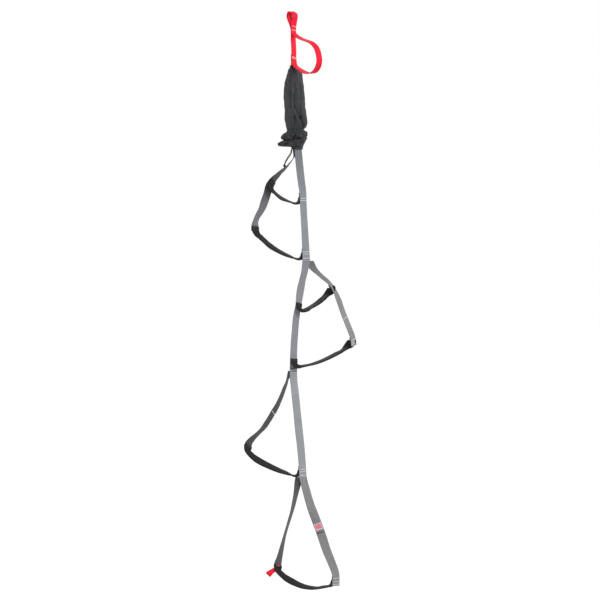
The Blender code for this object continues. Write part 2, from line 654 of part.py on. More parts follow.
# Steps. Rows are (along share, sag share, roll).
STEP_1_SHARES = ((0.2, 0.05, 90), (0.45, 0.052, 90), (0.75, 0.036, 91))
STEP_2_SHARES = (
    (0.2, 0.048, 89), (0.32, 0.056, 90), (0.44, 0.061, 90), (0.56, 0.059, 90), (0.68, 0.05, 90), (0.8, 0.037, 90),
)
STEP_3_SHARES = ((0.15, 0.023, 88), (0.35, 0.037, 91), (0.6, 0.035, 94), (0.8, 0.02, 94))
STEP_4_SHARES = (
    (0.14, 0.028, 90), (0.28, 0.046, 90), (0.4, 0.051, 90), (0.52, 0.051, 90), (0.64, 0.045, 90), (0.8, 0.03, 94),
)
STEP_5_SHARES = (
    (0.15, 0.023, 70), (0.3, 0.031, 80), (0.42, 0.034, 90), (0.52, 0.034, 90), (0.62, 0.031, 90),
    (0.72, 0.025, 90), (0.85, 0.014, 90),
)
STEP_6_SHARES = (
    (0.12, 0.04, 57), (0.24, 0.066, 62), (0.36, 0.088, 76), (0.48, 0.095, 90), (0.58, 0.094, 90),
    (0.68, 0.083, 90), (0.8, 0.064, 90),
)


def tab(stations, bay, top_share, end_share, shares):
    return stations, level(*bay, top_share), level(*bay, end_share), shares


step("tread_1",
     tab(leg_1, bay_1, TREAD_1_TOP_SHARE, TREAD_1_END_SHARE, STEEP_CORNER_SHARES),
     tab(spine_1, bay_1, TREAD_1_BACK_TOP_SHARE, TREAD_1_BACK_END_SHARE, LEVEL_CORNER_SHARES),
     STEP_1_SHARES, SUBSTEP_THICK, black, fold_1)
tread_2 = step("tread_2",
               tab(leg_1, bay_1, TREAD_2_TOP_SHARE, TREAD_2_END_SHARE, STEEP_CORNER_SHARES),
               tab(spine_1, bay_1, TREAD_2_BACK_TOP_SHARE, TREAD_2_BACK_END_SHARE, LEVEL_CORNER_SHARES),
               STEP_2_SHARES, STEP_THICK, black, fold_1, STEP_WALL)
step("tread_3",
     tab(spine_2, bay_2, TREAD_3_TOP_SHARE, TREAD_3_END_SHARE, LEVEL_CORNER_SHARES),
     tab(leg_2, bay_2, TREAD_3_BACK_TOP_SHARE, TREAD_3_BACK_END_SHARE, STEEP_CORNER_SHARES),
     STEP_3_SHARES, SUBSTEP_THICK, black, fold_2)
tread_4 = step("tread_4",
               tab(spine_2, bay_2, TREAD_4_TOP_SHARE, TREAD_4_END_SHARE, LEVEL_CORNER_SHARES),
               tab(leg_2, bay_2, TREAD_4_BACK_TOP_SHARE, TREAD_4_BACK_END_SHARE, STEEP_CORNER_SHARES),
               STEP_4_SHARES, STEP_THICK, black, fold_2, STEP_WALL)
tread_5 = step("tread_5",
               tab(leg_3, bay_3_back, TREAD_5_TOP_SHARE, TREAD_5_END_SHARE, LEAN_CORNER_SHARES),
               tab(spine_3, bay_3, TREAD_5_BACK_TOP_SHARE, TREAD_5_BACK_END_SHARE, LEVEL_CORNER_SHARES),
               STEP_5_SHARES, STEP_THICK, black, fold_3, STEP_WALL)
tread_6 = step("tread_6",
               tab(leg_4_left, bay_4, TREAD_6_TOP_SHARE, TREAD_6_END_SHARE, LEAN_CORNER_SHARES),
               tab(leg_4_right, bay_4, TREAD_6_BACK_TOP_SHARE, TREAD_6_BACK_END_SHARE, LEVEL_CORNER_SHARES),
               STEP_6_SHARES, STEP_THICK, black, fold_4, STEP_WALL)
for name, bend, parent in (
    ("stiffener_2", tread_2, fold_1), ("stiffener_4", tread_4, fold_2),
    ("stiffener_5", tread_5, fold_3), ("stiffener_6", tread_6, fold_4),
):
    strip(name, bend, parent)

# Bar tacks through the rails, where the steps' ends are sewn behind them.
TACK_1_SHARES = (0.700, 0.711, 0.960, 0.971)
TACK_2_SHARES = (0.725, 0.745, 0.762)
TACK_3_SHARES = (0.02, 0.93, 0.95)
TACK_4_SHARES = (0.93, 0.96)
for name, stations, bay, shares, parent in (
    ("step_tacks_1", spine_1, bay_1, TACK_1_SHARES, fold_1),
    ("step_tacks_2", leg_2, bay_2, TACK_2_SHARES, fold_2),
    ("step_tacks_3", spine_3, bay_3, TACK_3_SHARES, fold_3),
    ("step_tacks_4", leg_4_right, bay_4, TACK_4_SHARES, fold_4),
):
    places = tack_places(stations, [level(*bay, share) for share in shares])
    bars(name, places, RAIL_WIDTH, grey_thread, parent)

# The label lies flat on the lowest right rail.
LABEL_SHARE = 0.45
label_offset = (RAIL_THICK + LABEL_THICK) / 2 + CLEARANCE
label_top = level(*bay_4, LABEL_SHARE) - LABEL_LENGTH / 2
label = on_rail(leg_4_right, label_top, label_top + LABEL_LENGTH, label_offset, LABEL_WIDTH)
strap("label", label, LABEL_THICK, red, fold_4)

# The pull tab: a folded red loop below the lowest left rail, swinging on its sewn end at the step's corner.
PULL_TAB_SHARE = 0.835
PULL_TAB_LEAN = math.radians(32)
edge = at_drop(leg_4_left, level(*bay_4, PULL_TAB_SHARE))[0][0]
hinge = edge - SIDE * (RAIL_WIDTH / 2 - PULL_TAB_TUCK + PULL_TAB_WIDTH / 2 * math.sin(PULL_TAB_LEAN))
pull_fold = fold_line("pull_fold", hinge.x, -hinge.z)
pull_fold.parent = fold_4
pull_fold.location -= fold_4.location
pull_way = -SIDE * math.cos(PULL_TAB_LEAN) - UP * math.sin(PULL_TAB_LEAN)
pull_across = UP * math.cos(PULL_TAB_LEAN) - SIDE * math.sin(PULL_TAB_LEAN)
PULL_TAB_SHARES = (
    (0.0, -0.42), (0.2, -0.62), (0.5, -1.0), (0.8, -1.0), (0.915, -1.0), (0.975, -0.7), (1.0, 0.0),
    (0.975, 0.7), (0.915, 1.0), (0.8, 1.0), (0.5, 1.0), (0.2, 0.62), (0.0, 0.42),
)
pull_path = [
    (hinge + pull_way * (PULL_TAB_LENGTH * along) + BACK * (PULL_TAB_BULGE * out), pull_across)
    for along, out in PULL_TAB_SHARES
]
pull_tab = strap("pull_tab", framed(smooth(pull_path), PULL_TAB_WIDTH), PULL_TAB_THICK, red)
pull_tab.parent = pull_fold
pull_tab.location = -hinge

# The stuff sack: shell, bunched lower cloth and gathered mouth, all hollow round the webbing.
# Rows are (down share, centre share, half width share, half depth share) of the sack's own sizes.
SHELL_SHARES = (
    (0.0, 0.0, 0.36, 0.24), (0.03, 0.0, 0.44, 0.32), (0.07, 0.03, 0.64, 0.52), (0.115, 0.08, 0.78, 0.70),
    (0.20, 0.10, 0.86, 0.84), (0.34, 0.09, 0.96, 0.96), (0.50, 0.10, 0.98, 1.0), (0.70, 0.17, 1.0, 1.0),
    (0.86, 0.25, 1.0, 1.0), (0.94, 0.29, 0.92, 0.92), (1.0, 0.33, 0.82, 0.80),
)


def wall_inside(rows, wall):
    return [(centre, width - wall, depth - wall, slope) for centre, width, depth, slope in rows]


shell = [
    (Vector((SACK_HALF_WIDTH * x, 0, -(NECK_DROP + SACK_LENGTH * down))), SACK_HALF_WIDTH * w,
     SACK_HALF_DEPTH * d, 0)
    for down, x, w, d in SHELL_SHARES
]
cloth_tube("bag_shell", shell, wall_inside(shell, SACK_WALL), cloth, fold_1)

cuff_half = RAIL_WIDTH / 2 + CUFF_EASE
CUFF_CENTRE_SHARE = 0.33
BORE_TOP_SHARE = 0.78
cuff_x = BEND_2_REACH * CUFF_CENTRE_SHARE
BUNCH_SLOPE = 0.12
BUNCH_SHARES = (
    (0.0, 0.22, 0.62, 0.74), (0.08, 0.14, 0.70, 0.82), (0.30, 0.0, 0.90, 0.96), (0.42, -0.03, 0.93, 0.92),
    (0.52, -0.07, 0.98, 0.98), (0.70, -0.09, 1.0, 1.0), (0.88, -0.05, 0.95, 0.90), (1.0, 0.05, 0.78, 0.66),
)
bunch_top = NECK_DROP + SACK_LENGTH + 2 * CLEARANCE
bunch = []
bore = []
for down, x, w, d in BUNCH_SHARES:
    z = -(bunch_top + BUNCH_LENGTH * down)
    slope = BUNCH_SLOPE * min(1, down * BUNCH_LENGTH / BUNCH_RISE)
    bunch.append((Vector((BUNCH_HALF_WIDTH * x, 0, z)), BUNCH_HALF_WIDTH * w, BUNCH_HALF_DEPTH * d, slope))
    middle = cuff_x * (BORE_TOP_SHARE + (1 - BORE_TOP_SHARE) * down)
    lift = slope * (middle - BUNCH_HALF_WIDTH * x)
    bore.append((Vector((middle, CUFF_BACK, z + lift)), cuff_half, CUFF_HALF_DEPTH - SACK_WALL, slope))
cloth_tube("bag_bunch", bunch, bore, cloth, fold_1, inner_square=3)

cuff_top = bore[-1][0].z - CLEARANCE
cuff = [
    (Vector((cuff_x, CUFF_BACK, cuff_top)), cuff_half + SACK_WALL, CUFF_HALF_DEPTH, BUNCH_SLOPE),
    (Vector((cuff_x, CUFF_BACK, -MOUTH_DROP)), cuff_half + SACK_WALL, CUFF_HALF_DEPTH, 0),
]
cloth_tube("bag_cuff", cuff, wall_inside(cuff, SACK_WALL), cloth, fold_1, 3, 3)

tie = [
    (Vector((0, 0, -(NECK_DROP - CLEARANCE - TIE_HEIGHT * k))), RED_WIDTH / 2 + 2 * SACK_WALL,
     RAIL_THICK / 2 + 4 * SACK_WALL, 0)
    for k in (1, 0)
]
cloth_tube("bag_tie", tie, wall_inside(tie, SACK_WALL), cord_look, fold_1, 3, 3)

# The draw cord: two strands from the cuff's left end, knotted together.
CORD_ROUTE = (
    (-0.0030, 0.0030, -0.3840), (-0.0038, 0.0031, -0.3875), (-0.0046, 0.0033, -0.3910), (-0.0052, 0.0040, -0.3950),
    (-0.0072, 0.0055, -0.4000), (-0.0105, 0.0065, -0.4050), (-0.0140, 0.0070, -0.4100),
    (-0.0176, 0.0075, -0.4150), (-0.0208, 0.0078, -0.4200), (-0.0232, 0.0080, -0.4245),
    (-0.0245, 0.0080, -0.4275),
)
CORD_SPREAD_SHARES = (1.3, 1.4, 1.6, 2.2, 2.6, 2.6, 2.2, 1.8, 1.5, 1.3, 1.3)
for name, hand in (("drawcord_front", -1), ("drawcord_back", 1)):
    cord(name, [
        Vector(point) + BACK * (hand * CORD_RADIUS * spread)
        for point, spread in zip(CORD_ROUTE, CORD_SPREAD_SHARES)
    ], cord_look, fold_1)
knot_mesh = bmesh.new()
bmesh.ops.create_uvsphere(knot_mesh, u_segments=16, v_segments=10, radius=KNOT_RADIUS)
bmesh.ops.translate(knot_mesh, verts=knot_mesh.verts,
                    vec=Vector(CORD_ROUTE[-1]) - UP * (KNOT_RADIUS + CLEARANCE))
add("drawcord_knot", knot_mesh, cord_look, fold_1)
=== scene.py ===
"""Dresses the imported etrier: webbing, steps, stuff sack and cord, hung in plain studio light."""

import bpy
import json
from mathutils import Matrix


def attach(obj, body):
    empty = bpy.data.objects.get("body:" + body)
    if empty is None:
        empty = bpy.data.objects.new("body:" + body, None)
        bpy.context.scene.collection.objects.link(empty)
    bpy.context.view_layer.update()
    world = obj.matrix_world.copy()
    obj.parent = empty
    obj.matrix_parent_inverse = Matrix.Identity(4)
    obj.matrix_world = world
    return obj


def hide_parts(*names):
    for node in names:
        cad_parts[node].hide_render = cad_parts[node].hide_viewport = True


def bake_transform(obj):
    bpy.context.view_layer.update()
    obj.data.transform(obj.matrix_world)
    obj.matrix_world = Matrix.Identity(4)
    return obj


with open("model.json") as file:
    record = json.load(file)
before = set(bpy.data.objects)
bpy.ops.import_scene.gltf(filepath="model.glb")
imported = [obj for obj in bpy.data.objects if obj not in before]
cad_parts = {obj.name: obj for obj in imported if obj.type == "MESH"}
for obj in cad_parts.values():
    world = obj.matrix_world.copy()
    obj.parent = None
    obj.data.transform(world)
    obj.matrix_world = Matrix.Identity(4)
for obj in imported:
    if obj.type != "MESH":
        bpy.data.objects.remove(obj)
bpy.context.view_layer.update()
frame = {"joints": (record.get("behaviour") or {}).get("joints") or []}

import json
import math
from functools import partial

import bpy
from mathutils import Vector, noise

# Camera
# The ladder hangs free and is seen level, from its front left. Its picture is 600 pixels square, 2.8 mm to a
# pixel, and the crown of its eye hangs in column 293.4, 11.6 rows below the upper edge.
PICTURE = 600
PIXEL = 0.0028
EYE_COLUMN = 293.4
EYE_ROW = 11.6
LOOK = math.radians(35)
FAR = 24.0
SENSOR = 36
right_hand = Vector((math.cos(LOOK), -math.sin(LOOK), 0))
ahead = Vector((math.sin(LOOK), math.cos(LOOK), 0))
aim = right_hand * ((PICTURE / 2 - EYE_COLUMN) * PIXEL) - Vector((0, 0, (PICTURE / 2 - EYE_ROW) * PIXEL))
bpy.ops.object.camera_add(location=aim - ahead * FAR, rotation=(math.radians(90), 0, -LOOK))
camera = bpy.context.object
camera.data.sensor_width = SENSOR
camera.data.lens = SENSOR * FAR / (PICTURE * PIXEL)
camera.data.clip_end = FAR * 5
bpy.context.scene.camera = camera


# Draw cord
# Thin braided black cord, round, that closes the sack's mouth. Its two strands leave the cuff at the left and
# hang together down to the knot that joins their ends.
CORD_RADIUS = 0.0011
CORD_ROUTE = (
    (-0.003, 0.003, -0.384), (-0.0038, 0.0031, -0.3875), (-0.0046, 0.0033, -0.391), (-0.0052, 0.004, -0.395),
    (-0.0072, 0.0055, -0.4), (-0.0105, 0.0065, -0.405), (-0.014, 0.007, -0.41),
    (-0.0176, 0.0075, -0.415), (-0.0208, 0.0078, -0.42), (-0.0232, 0.008, -0.4245),
    (-0.0245, 0.008, -0.4275),
)
CORD_SPREAD_SHARES = (1.3, 1.4, 1.6, 2.2, 2.6, 2.6, 2.2, 1.8, 1.5, 1.3, 1.3)
CORD_SPACING = 0.001
KNOT_RADIUS = 0.0029
KNOT_DROP = 0.0043
KNOT_STEPS = 96
KNOT_SWELL_SHARE = 0.42
KNOT_SIZE_SHARES = (0.62, 0.8, 0.95)
KNOT_CORD_SHARE = 1.15
MERGE_GAP = 0.000005
SMOOTH_ANGLE = math.radians(50)


def node(tree, kind, *feeds, **settings):
    """Adds a shader node; each feed is a value or another node's socket."""
    made = tree.nodes.new("ShaderNode" + kind)
    for key, value in settings.items():
        setattr(made, key, value)
    for socket, feed in zip(made.inputs, feeds):
        if isinstance(feed, bpy.types.NodeSocket):
            tree.links.new(feed, socket)
        elif feed is not None:
            socket.default_value = feed
    return made.outputs[0]


def maths(tree, operation, a, b=0.0, c=0.0):
    return node(tree, "Math", a, b, c, operation=operation)


def parts(tree, vector):
    """A vector's three parts."""
    return node(tree, "SeparateXYZ", vector).node.outputs


def effect(name, inputs, outputs):
    """An empty node group with its sockets; returns the tree, its input sockets and its output node."""
    tree = bpy.data.node_groups.new(name, "ShaderNodeTree")
    for label, value in inputs.items():
        kind = "NodeSocketColor" if isinstance(value, tuple) else "NodeSocketFloat"
        tree.interface.new_socket(name=label, in_out="INPUT", socket_type=kind).default_value = value
    for label in outputs:
        kind = "NodeSocketColor" if label == "Colour" else "NodeSocketFloat"
        tree.interface.new_socket(name=label, in_out="OUTPUT", socket_type=kind)
    entry = tree.nodes.new("NodeGroupInput")
    return tree, entry.outputs, tree.nodes.new("NodeGroupOutput")


def woven_group():
    """Woven yarn on a strap's own map, in millimetres: ribs along it, with picks that cross them in turn."""
    tree, given, out = effect("woven_yarn", {
        "Tone": (0.2, 0.2, 0.2, 1), "Rib": 1.0, "Pick": 1.3, "Edge": 12.5, "Patch": 0.12, "Shade": 0.5,
        "Slant": 0.0, "Fade": 1.0, "Fade Top": 0.0, "Fade End": -1.0,
    }, ("Colour", "Roughness", "Height"))
    calc = partial(maths, tree)
    across, along, _ = parts(tree, node(tree, "UVMap", uv_map="weave"))
    ribs = calc("DIVIDE", calc("MULTIPLY_ADD", along, given["Slant"], across), given["Rib"])
    odd = calc("MODULO", calc("ABSOLUTE", calc("FLOOR", ribs)), 2.0)
    picks = calc("MULTIPLY_ADD", odd, 0.5, calc("DIVIDE", along, given["Pick"]))
    rib_wave, pick_wave = (
        calc("ABSOLUTE", calc("SINE", calc("MULTIPLY", run, math.pi))) for run in (ribs, picks)
    )
    bead = calc("MULTIPLY", calc("POWER", rib_wave, 0.6), calc("MULTIPLY_ADD", pick_wave, 0.45, 0.55))
    # The selvedge is a tight cord of yarn along each edge.
    inward = calc("SUBTRACT", given["Edge"], calc("ABSOLUTE", across))
    selvedge = calc("SUBTRACT", 1.0, node(tree, "MapRange", inward, 0.9, 1.7, 0.0, 1.0))
    spot = tree.nodes.new("ShaderNodeTexCoord").outputs["Object"]
    blotch = node(tree, "TexNoise", spot, None, 26.0, 3.0, 0.55)
    fuzz = node(tree, "TexNoise", spot, None, 900.0, 2.0, 0.6)
    drift = calc("MULTIPLY", calc("SUBTRACT", blotch, 0.5), given["Patch"])
    depth = calc("MULTIPLY", calc("SUBTRACT", bead, 0.72), given["Shade"])
    light = calc("ADD", calc("ADD", 1.0, calc("MULTIPLY", drift, 2.0)), depth)
    light = calc("MULTIPLY_ADD", calc("SUBTRACT", fuzz, 0.5), 0.25, light)
    light = calc("MULTIPLY_ADD", selvedge, -0.1, light)
    # Painted shade and light: the tone is scaled towards the upper end, where a webbing turns from the light.
    rise = parts(tree, spot)[2]
    fade = node(tree, "MapRange", rise, given["Fade End"], given["Fade Top"], 1.0, given["Fade"])
    light = calc("MULTIPLY", light, fade)
    tone = tree.nodes.new("ShaderNodeMix")
    tone.data_type, tone.blend_type = "RGBA", "MULTIPLY"
    tone.inputs["Factor"].default_value = 1.0
    tree.links.new(given["Tone"], tone.inputs["A"])
    tree.links.new(node(tree, "CombineColor", light, light, light), tone.inputs["B"])
    tree.links.new(tone.outputs["Result"], out.inputs["Colour"])
    rough = calc("MULTIPLY_ADD", bead, -0.14, calc("MULTIPLY_ADD", blotch, 0.16, 0.62))
    tree.links.new(rough, out.inputs["Roughness"])
    height = calc("MULTIPLY_ADD", selvedge, 0.35, bead)
    tree.links.new(calc("MULTIPLY_ADD", fuzz, 0.3, height), out.inputs["Height"])
    return tree


WOVEN = woven_group()
NO_FADE = (1.0, 0.0, -1.0)


def woven(name, colour, rib=1.0, pick=1.3, edge=12.5, patch=0.12, shade=0.5, slant=0.0, depth=0.00018,
          sheen=0.04, fade=NO_FADE):
    """A material of woven yarn with its own colour and yarn sizes in millimetres."""
    made = bpy.data.materials.new(name)
    made.use_nodes = True
    tree = made.node_tree
    shader = tree.nodes["Principled BSDF"]
    yarn = tree.nodes.new("ShaderNodeGroup")
    yarn.node_tree = WOVEN
    for label, value in (("Tone", (*colour, 1)), ("Rib", rib), ("Pick", pick), ("Edge", edge),
                         ("Patch", patch), ("Shade", shade), ("Slant", slant), ("Fade", fade[0]),
                         ("Fade Top", fade[1]), ("Fade End", fade[2])):
        yarn.inputs[label].default_value = value
    tree.links.new(yarn.outputs["Colour"], shader.inputs["Base Color"])
    tree.links.new(yarn.outputs["Roughness"], shader.inputs["Roughness"])
    bump = tree.nodes.new("ShaderNodeBump")
    bump.inputs["Strength"].default_value = 0.7
    bump.inputs["Distance"].default_value = depth
    tree.links.new(yarn.outputs["Height"], bump.inputs["Height"])
    tree.links.new(bump.outputs["Normal"], shader.inputs["Normal"])
    shader.inputs["Sheen Weight"].default_value = sheen
    shader.inputs["Sheen Roughness"].default_value = 0.4
    shader.inputs["Specular IOR Level"].default_value = 0.2
    return made


cord_look = woven("braided_cord", (0.014, 0.014, 0.015), rib=0.7, pick=1.1, edge=99, slant=0.6, depth=0.00012)


def bare_grid(name, columns, rows):
    """A new flat grid and its map."""
    bpy.ops.object.select_all(action="DESELECT")
    bpy.ops.mesh.primitive_grid_add(x_subdivisions=columns, y_subdivisions=rows, size=1)
    piece = bpy.context.object
    piece.name = piece.data.name = name
    chart = piece.data.uv_layers.active
    chart.name = "weave"
    return piece, chart


def wrapped_grid(name, rings, lengthwise, around, look, ends=True):
    """A grid whose columns run round each ring and whose rows follow one another, sewn shut along its seam.

    lengthwise gives each ring's distance along the piece and around each column's place across it, in metres.
    """
    columns = len(rings[0])
    piece, chart = bare_grid(name, columns, len(rings) - 1)
    mesh = piece.data
    places = [tuple(ring[k % columns]) for ring in rings for k in range(columns + 1)]
    mesh.vertices.foreach_set("co", [value for place in places for value in place])
    for corner, mapped in zip(mesh.loops, chart.data):
        row, column = divmod(corner.vertex_index, columns + 1)
        mapped.uv = (around[column] * 1000, lengthwise[row] * 1000)
    mesh.update()
    bpy.ops.object.mode_set(mode="EDIT")
    bpy.ops.mesh.select_all(action="SELECT")
    bpy.ops.mesh.remove_doubles(threshold=MERGE_GAP)
    if ends:
        bpy.ops.mesh.select_all(action="DESELECT")
        bpy.ops.mesh.select_non_manifold(extend=False)
        bpy.ops.mesh.fill_holes(sides=0)
        bpy.ops.mesh.select_all(action="SELECT")
        bpy.ops.mesh.normals_make_consistent(inside=False)
    bpy.ops.object.mode_set(mode="OBJECT")
    bpy.ops.object.shade_smooth_by_angle(angle=SMOOTH_ANGLE)
    mesh.materials.append(look)
    return piece


def distances(points):
    found = [0.0]
    for a, b in zip(points, points[1:]):
        found.append(found[-1] + (b - a).length)
    return found


def round_cord(name, points, radius, look, sides=12, taper=()):
    """A cord along points that lie close together."""
    rings = []
    side = Vector((0, 1, 0))
    for i, point in enumerate(points):
        travel = (points[min(i + 1, len(points) - 1)] - points[max(i - 1, 0)]).normalized()
        side = (side - side.dot(travel) * travel).normalized()
        other = travel.cross(side)
        size = radius * (taper[i] if taper else 1)
        turns = (2 * math.pi * k / sides for k in range(sides))
        rings.append([point + (side * math.cos(turn) + other * math.sin(turn)) * size for turn in turns])
    around = [2 * math.pi * radius * k / sides for k in range(sides + 1)]
    return wrapped_grid(name, rings, distances(points), around, look)


def between(a, p, q, b, t):
    """The place at share t of the way from p to q, on a smooth run from a to b."""
    return 0.5 * (
        2 * p + (q - a) * t + (2 * a - 5 * p + 4 * q - b) * t * t + (3 * p - a - 3 * q + b) * t ** 3
    )


def curve_through(points, spacing):
    """A smooth run of points through the given ones."""
    run = []
    for i in range(len(points) - 1):
        a, b = points[max(i - 1, 0)], points[min(i + 2, len(points) - 1)]
        count = max(2, math.ceil((points[i + 1] - points[i]).length / spacing))
        run += [between(a, points[i], points[i + 1], b, j / count) for j in range(count)]
    return run + [points[-1]]


def placed(piece, body, slot, *nodes):
    """Hangs a finished piece on its body, in place of any solids that it stands for."""
    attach(piece, body)
    if nodes:
        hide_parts(*nodes)


for name, hand in (("drawcord_front", -1), ("drawcord_back", 1)):
    route = curve_through([
        Vector(point) + Vector((0, hand * CORD_RADIUS * spread, 0))
        for point, spread in zip(CORD_ROUTE, CORD_SPREAD_SHARES)
    ], CORD_SPACING)
    strand = round_cord(name + "_braid", route, CORD_RADIUS, cord_look)
    placed(strand, "section_1", "black_cord", name)

# The knot is a single overhand knot in the doubled end.
knot_middle = Vector(CORD_ROUTE[-1]) - Vector((0, 0, KNOT_DROP))
knot_path = []
wide, deep, high = KNOT_SIZE_SHARES
for i in range(KNOT_STEPS + 1):
    turn = 2 * math.pi * i / KNOT_STEPS
    swell = KNOT_RADIUS * (1 + KNOT_SWELL_SHARE * math.cos(3 * turn))
    knot_path.append(knot_middle + Vector((
        swell * math.cos(2 * turn) * wide, swell * math.sin(2 * turn) * deep,
        KNOT_RADIUS * high * math.sin(3 * turn),
    )))
knot = round_cord("drawcord_overhand", knot_path, CORD_RADIUS * KNOT_CORD_SHARE, cord_look)
placed(knot, "section_1", "black_cord", "drawcord_knot")


# Clip-in eye
# Flat red webbing, 17 mm wide, doubled back on itself so that a carabiner bears inside its crown. The two
# ends lie together in the neck, where two slanting bar tacks of pale thread sew them.
RED_WIDTH = 0.017
RED_THICK = 0.0016
CLEARANCE = 0.0003
RED_PITCH = RED_THICK + CLEARANCE
FOLD_1_DROP = 0.056
EYE_FRONT = 0.0078
EYE_BACK = 0.0202
EYE_TURN = math.radians(11)
# Its turn starts at one share of the drop and is full at another share above that.
EYE_TURN_START_SHARE = 0.78
EYE_TURN_LENGTH_SHARE = 0.35
SIDE = Vector((1, 0, 0))
BACK = Vector((0, 1, 0))
UP = Vector((0, 0, 1))
SPACING = 0.0025
# Rows are (share of the front or back reach, share of the height).
EYE_FRONT_SHARES = (
    (-0.106, 1), (-0.106, 0.93), (-0.12, 0.8), (-0.36, 0.62), (-0.6, 0.47), (-0.88, 0.33), (-1, 0.215),
    (-0.62, 0.115),
)
EYE_BACK_SHARES = (
    (0.2, 0.035), (0.46, 0.003), (0.66, -0.005), (0.86, 0.06), (0.985, 0.15), (1, 0.24), (0.9, 0.35),
    (0.71, 0.46), (0.48, 0.58), (0.29, 0.71), (0.14, 0.83), (0.044, 0.94), (0.044, 1),
)
# One corner of a flat strap's section: (share of the half width, share of the half thickness).
STRAP_CORNER_SHARES = ((1, 0.25), (0.985, 0.72), (0.95, 1), (0.8, 0.97), (0.45, 1))
red_look = woven("red_webbing_yarn", (0.9, 0.011, 0.04), rib=0.85, pick=1.2, edge=8.5, shade=0.3, patch=0.06)


def whole_section(corner_shares):
    """The section once round it, from one corner."""
    face = [*corner_shares, (0, 1), *((-u, h) for u, h in reversed(corner_shares))]
    section = face + [(-u, -h) for u, h in face]
    return section[-1:] + section[:-1]


strap_section = whole_section(STRAP_CORNER_SHARES)


def slope_at(before, here, after, lead, follow):
    return ((here - before) / lead * follow + (after - here) / follow * lead) / (lead + follow)


def smooth(stations):
    """Samples of a smooth path: stations and samples are (centre, width direction)."""
    chords = [(b[0] - a[0]).length for a, b in zip(stations, stations[1:])]
    last = len(stations) - 1
    slopes = []
    for i in range(last + 1):
        before, after = stations[max(i - 1, 0)], stations[min(i + 1, last)]
        lead, follow = chords[max(i - 1, 0)], chords[min(i, last - 1)]
        slopes.append([slope_at(before[k], stations[i][k], after[k], lead, follow) for k in (0, 1)])
        if i in (0, last):
            slopes[i] = [slope * 2 for slope in slopes[i]]
    path = []
    for i in range(last):
        count = max(2, math.ceil(chords[i] / SPACING))
        for j in range(count):
            t = j / count
            rise = t * t * (3 - 2 * t)
            centre, across = (
                stations[i][k] + (stations[i + 1][k] - stations[i][k]) * rise
                + slopes[i][k] * (chords[i] * t * (1 - t) ** 2)
                - slopes[i + 1][k] * (chords[i] * t * t * (1 - t))
                for k in (0, 1)
            )
            path.append((centre, across.normalized()))
    path.append((stations[last][0], stations[last][1].normalized()))
    return path


def framed(path, width, taper=None):
    """Frames (centre, travel, across, width); a taper is (end width, drop where it starts, length of it)."""
    frames = []
    for i, (centre, across) in enumerate(path):
        ahead_of = path[min(i + 1, len(path) - 1)][0] - path[max(i - 1, 0)][0]
        wide = width
        if taper:
            wide = taper[0] + (width - taper[0]) * min(1, max(0, (-centre.z - taper[1]) / taper[2]))
        frames.append((centre, ahead_of.normalized(), across, wide))
    return frames


def lay_webbing(name, frames, thick, look, section=strap_section, thicks=None, ends=True, ripple=0.00012,
                flush=None):
    """Webbing along its frames. thicks is each frame's thickness; flush is -1 where the front face stays."""
    rings = []
    for i, (centre, travel, across, width) in enumerate(frames):
        half = across * (width / 2 / across.cross(travel).length)
        front = travel.cross(across).normalized()
        high = (thicks[i] if thicks else thick) / 2
        middle = centre - front * ((thick / 2 - high) * (flush[i] if flush else 1))
        ring = []
        for u, h in section:
            wave = noise.noise(Vector((u * 1.3, i * SPACING * 60, len(name)))) * ripple
            ring.append(middle + half * u + front * (high * h + wave))
        rings.append(ring)
    around = [u * frames[0][3] / 2 for u, h in section] + [section[0][0] * frames[0][3] / 2]
    return wrapped_grid(name, rings, distances([frame[0] for frame in frames]), around, look, ends)


def over(look, mask, colour):
    """Lays a second colour over a material's own, where the mask is 1."""
    tree = look.node_tree
    base = tree.nodes["Principled BSDF"].inputs["Base Color"]
    mix = tree.nodes.new("ShaderNodeMix")
    mix.data_type = "RGBA"
    tree.links.new(mask, mix.inputs["Factor"])
    tree.links.new(base.links[0].from_socket, mix.inputs["A"])
    mix.inputs["B"].default_value = colour
    tree.links.new(mix.outputs["Result"], base)


eye_path = [
    Vector((0, reach * y, -FOLD_1_DROP * z))
    for reach, shares in ((EYE_FRONT, EYE_FRONT_SHARES), (EYE_BACK, EYE_BACK_SHARES)) for y, z in shares
]
eye_path[0].y = eye_path[1].y = -RED_PITCH / 2
eye_path[-1].y = eye_path[-2].y = RED_PITCH / 2
eye_stations = []
for point in eye_path:
    above = EYE_TURN_START_SHARE + point.z / FOLD_1_DROP
    turn = EYE_TURN * min(1, max(0, above / EYE_TURN_LENGTH_SHARE))
    eye_stations.append((point, SIDE * math.cos(turn) - BACK * math.sin(turn)))
# Painted shade: the inner face is darker inside the crown, where the front strand shades the back one.
# Rows are (where that starts, where it is full): to the back, to the right and upwards.
SHADE_SPANS = ((0.003, 0.007), (-0.003, 0.003), (-0.03, -0.022))
SHADED_RED = (0.3, 0.004, 0.008, 1)
eye_look = red_look.copy()
eye_look.name = "red_webbing_eye"
eye_tree = eye_look.node_tree
eye_spot = eye_tree.nodes.new("ShaderNodeTexCoord").outputs
eye_x, eye_y, eye_z = parts(eye_tree, eye_spot["Object"])
# The mask of painted shade: faces that look to the front, inside the crown.
inner_shade = node(eye_tree, "MapRange", parts(eye_tree, eye_spot["Normal"])[1], -0.1, -0.5, 0.0, 1.0)
for place, (start, end) in zip((eye_y, eye_x, eye_z), SHADE_SPANS):
    inner_shade = maths(eye_tree, "MULTIPLY", inner_shade, node(eye_tree, "MapRange", place, start, end, 0.0, 1.0))
over(eye_look, inner_shade, SHADED_RED)
eye = lay_webbing("sling_eye", framed(smooth(eye_stations), RED_WIDTH), RED_THICK, eye_look)
placed(eye, "clip_in", "red_webbing", "clip_in_eye")

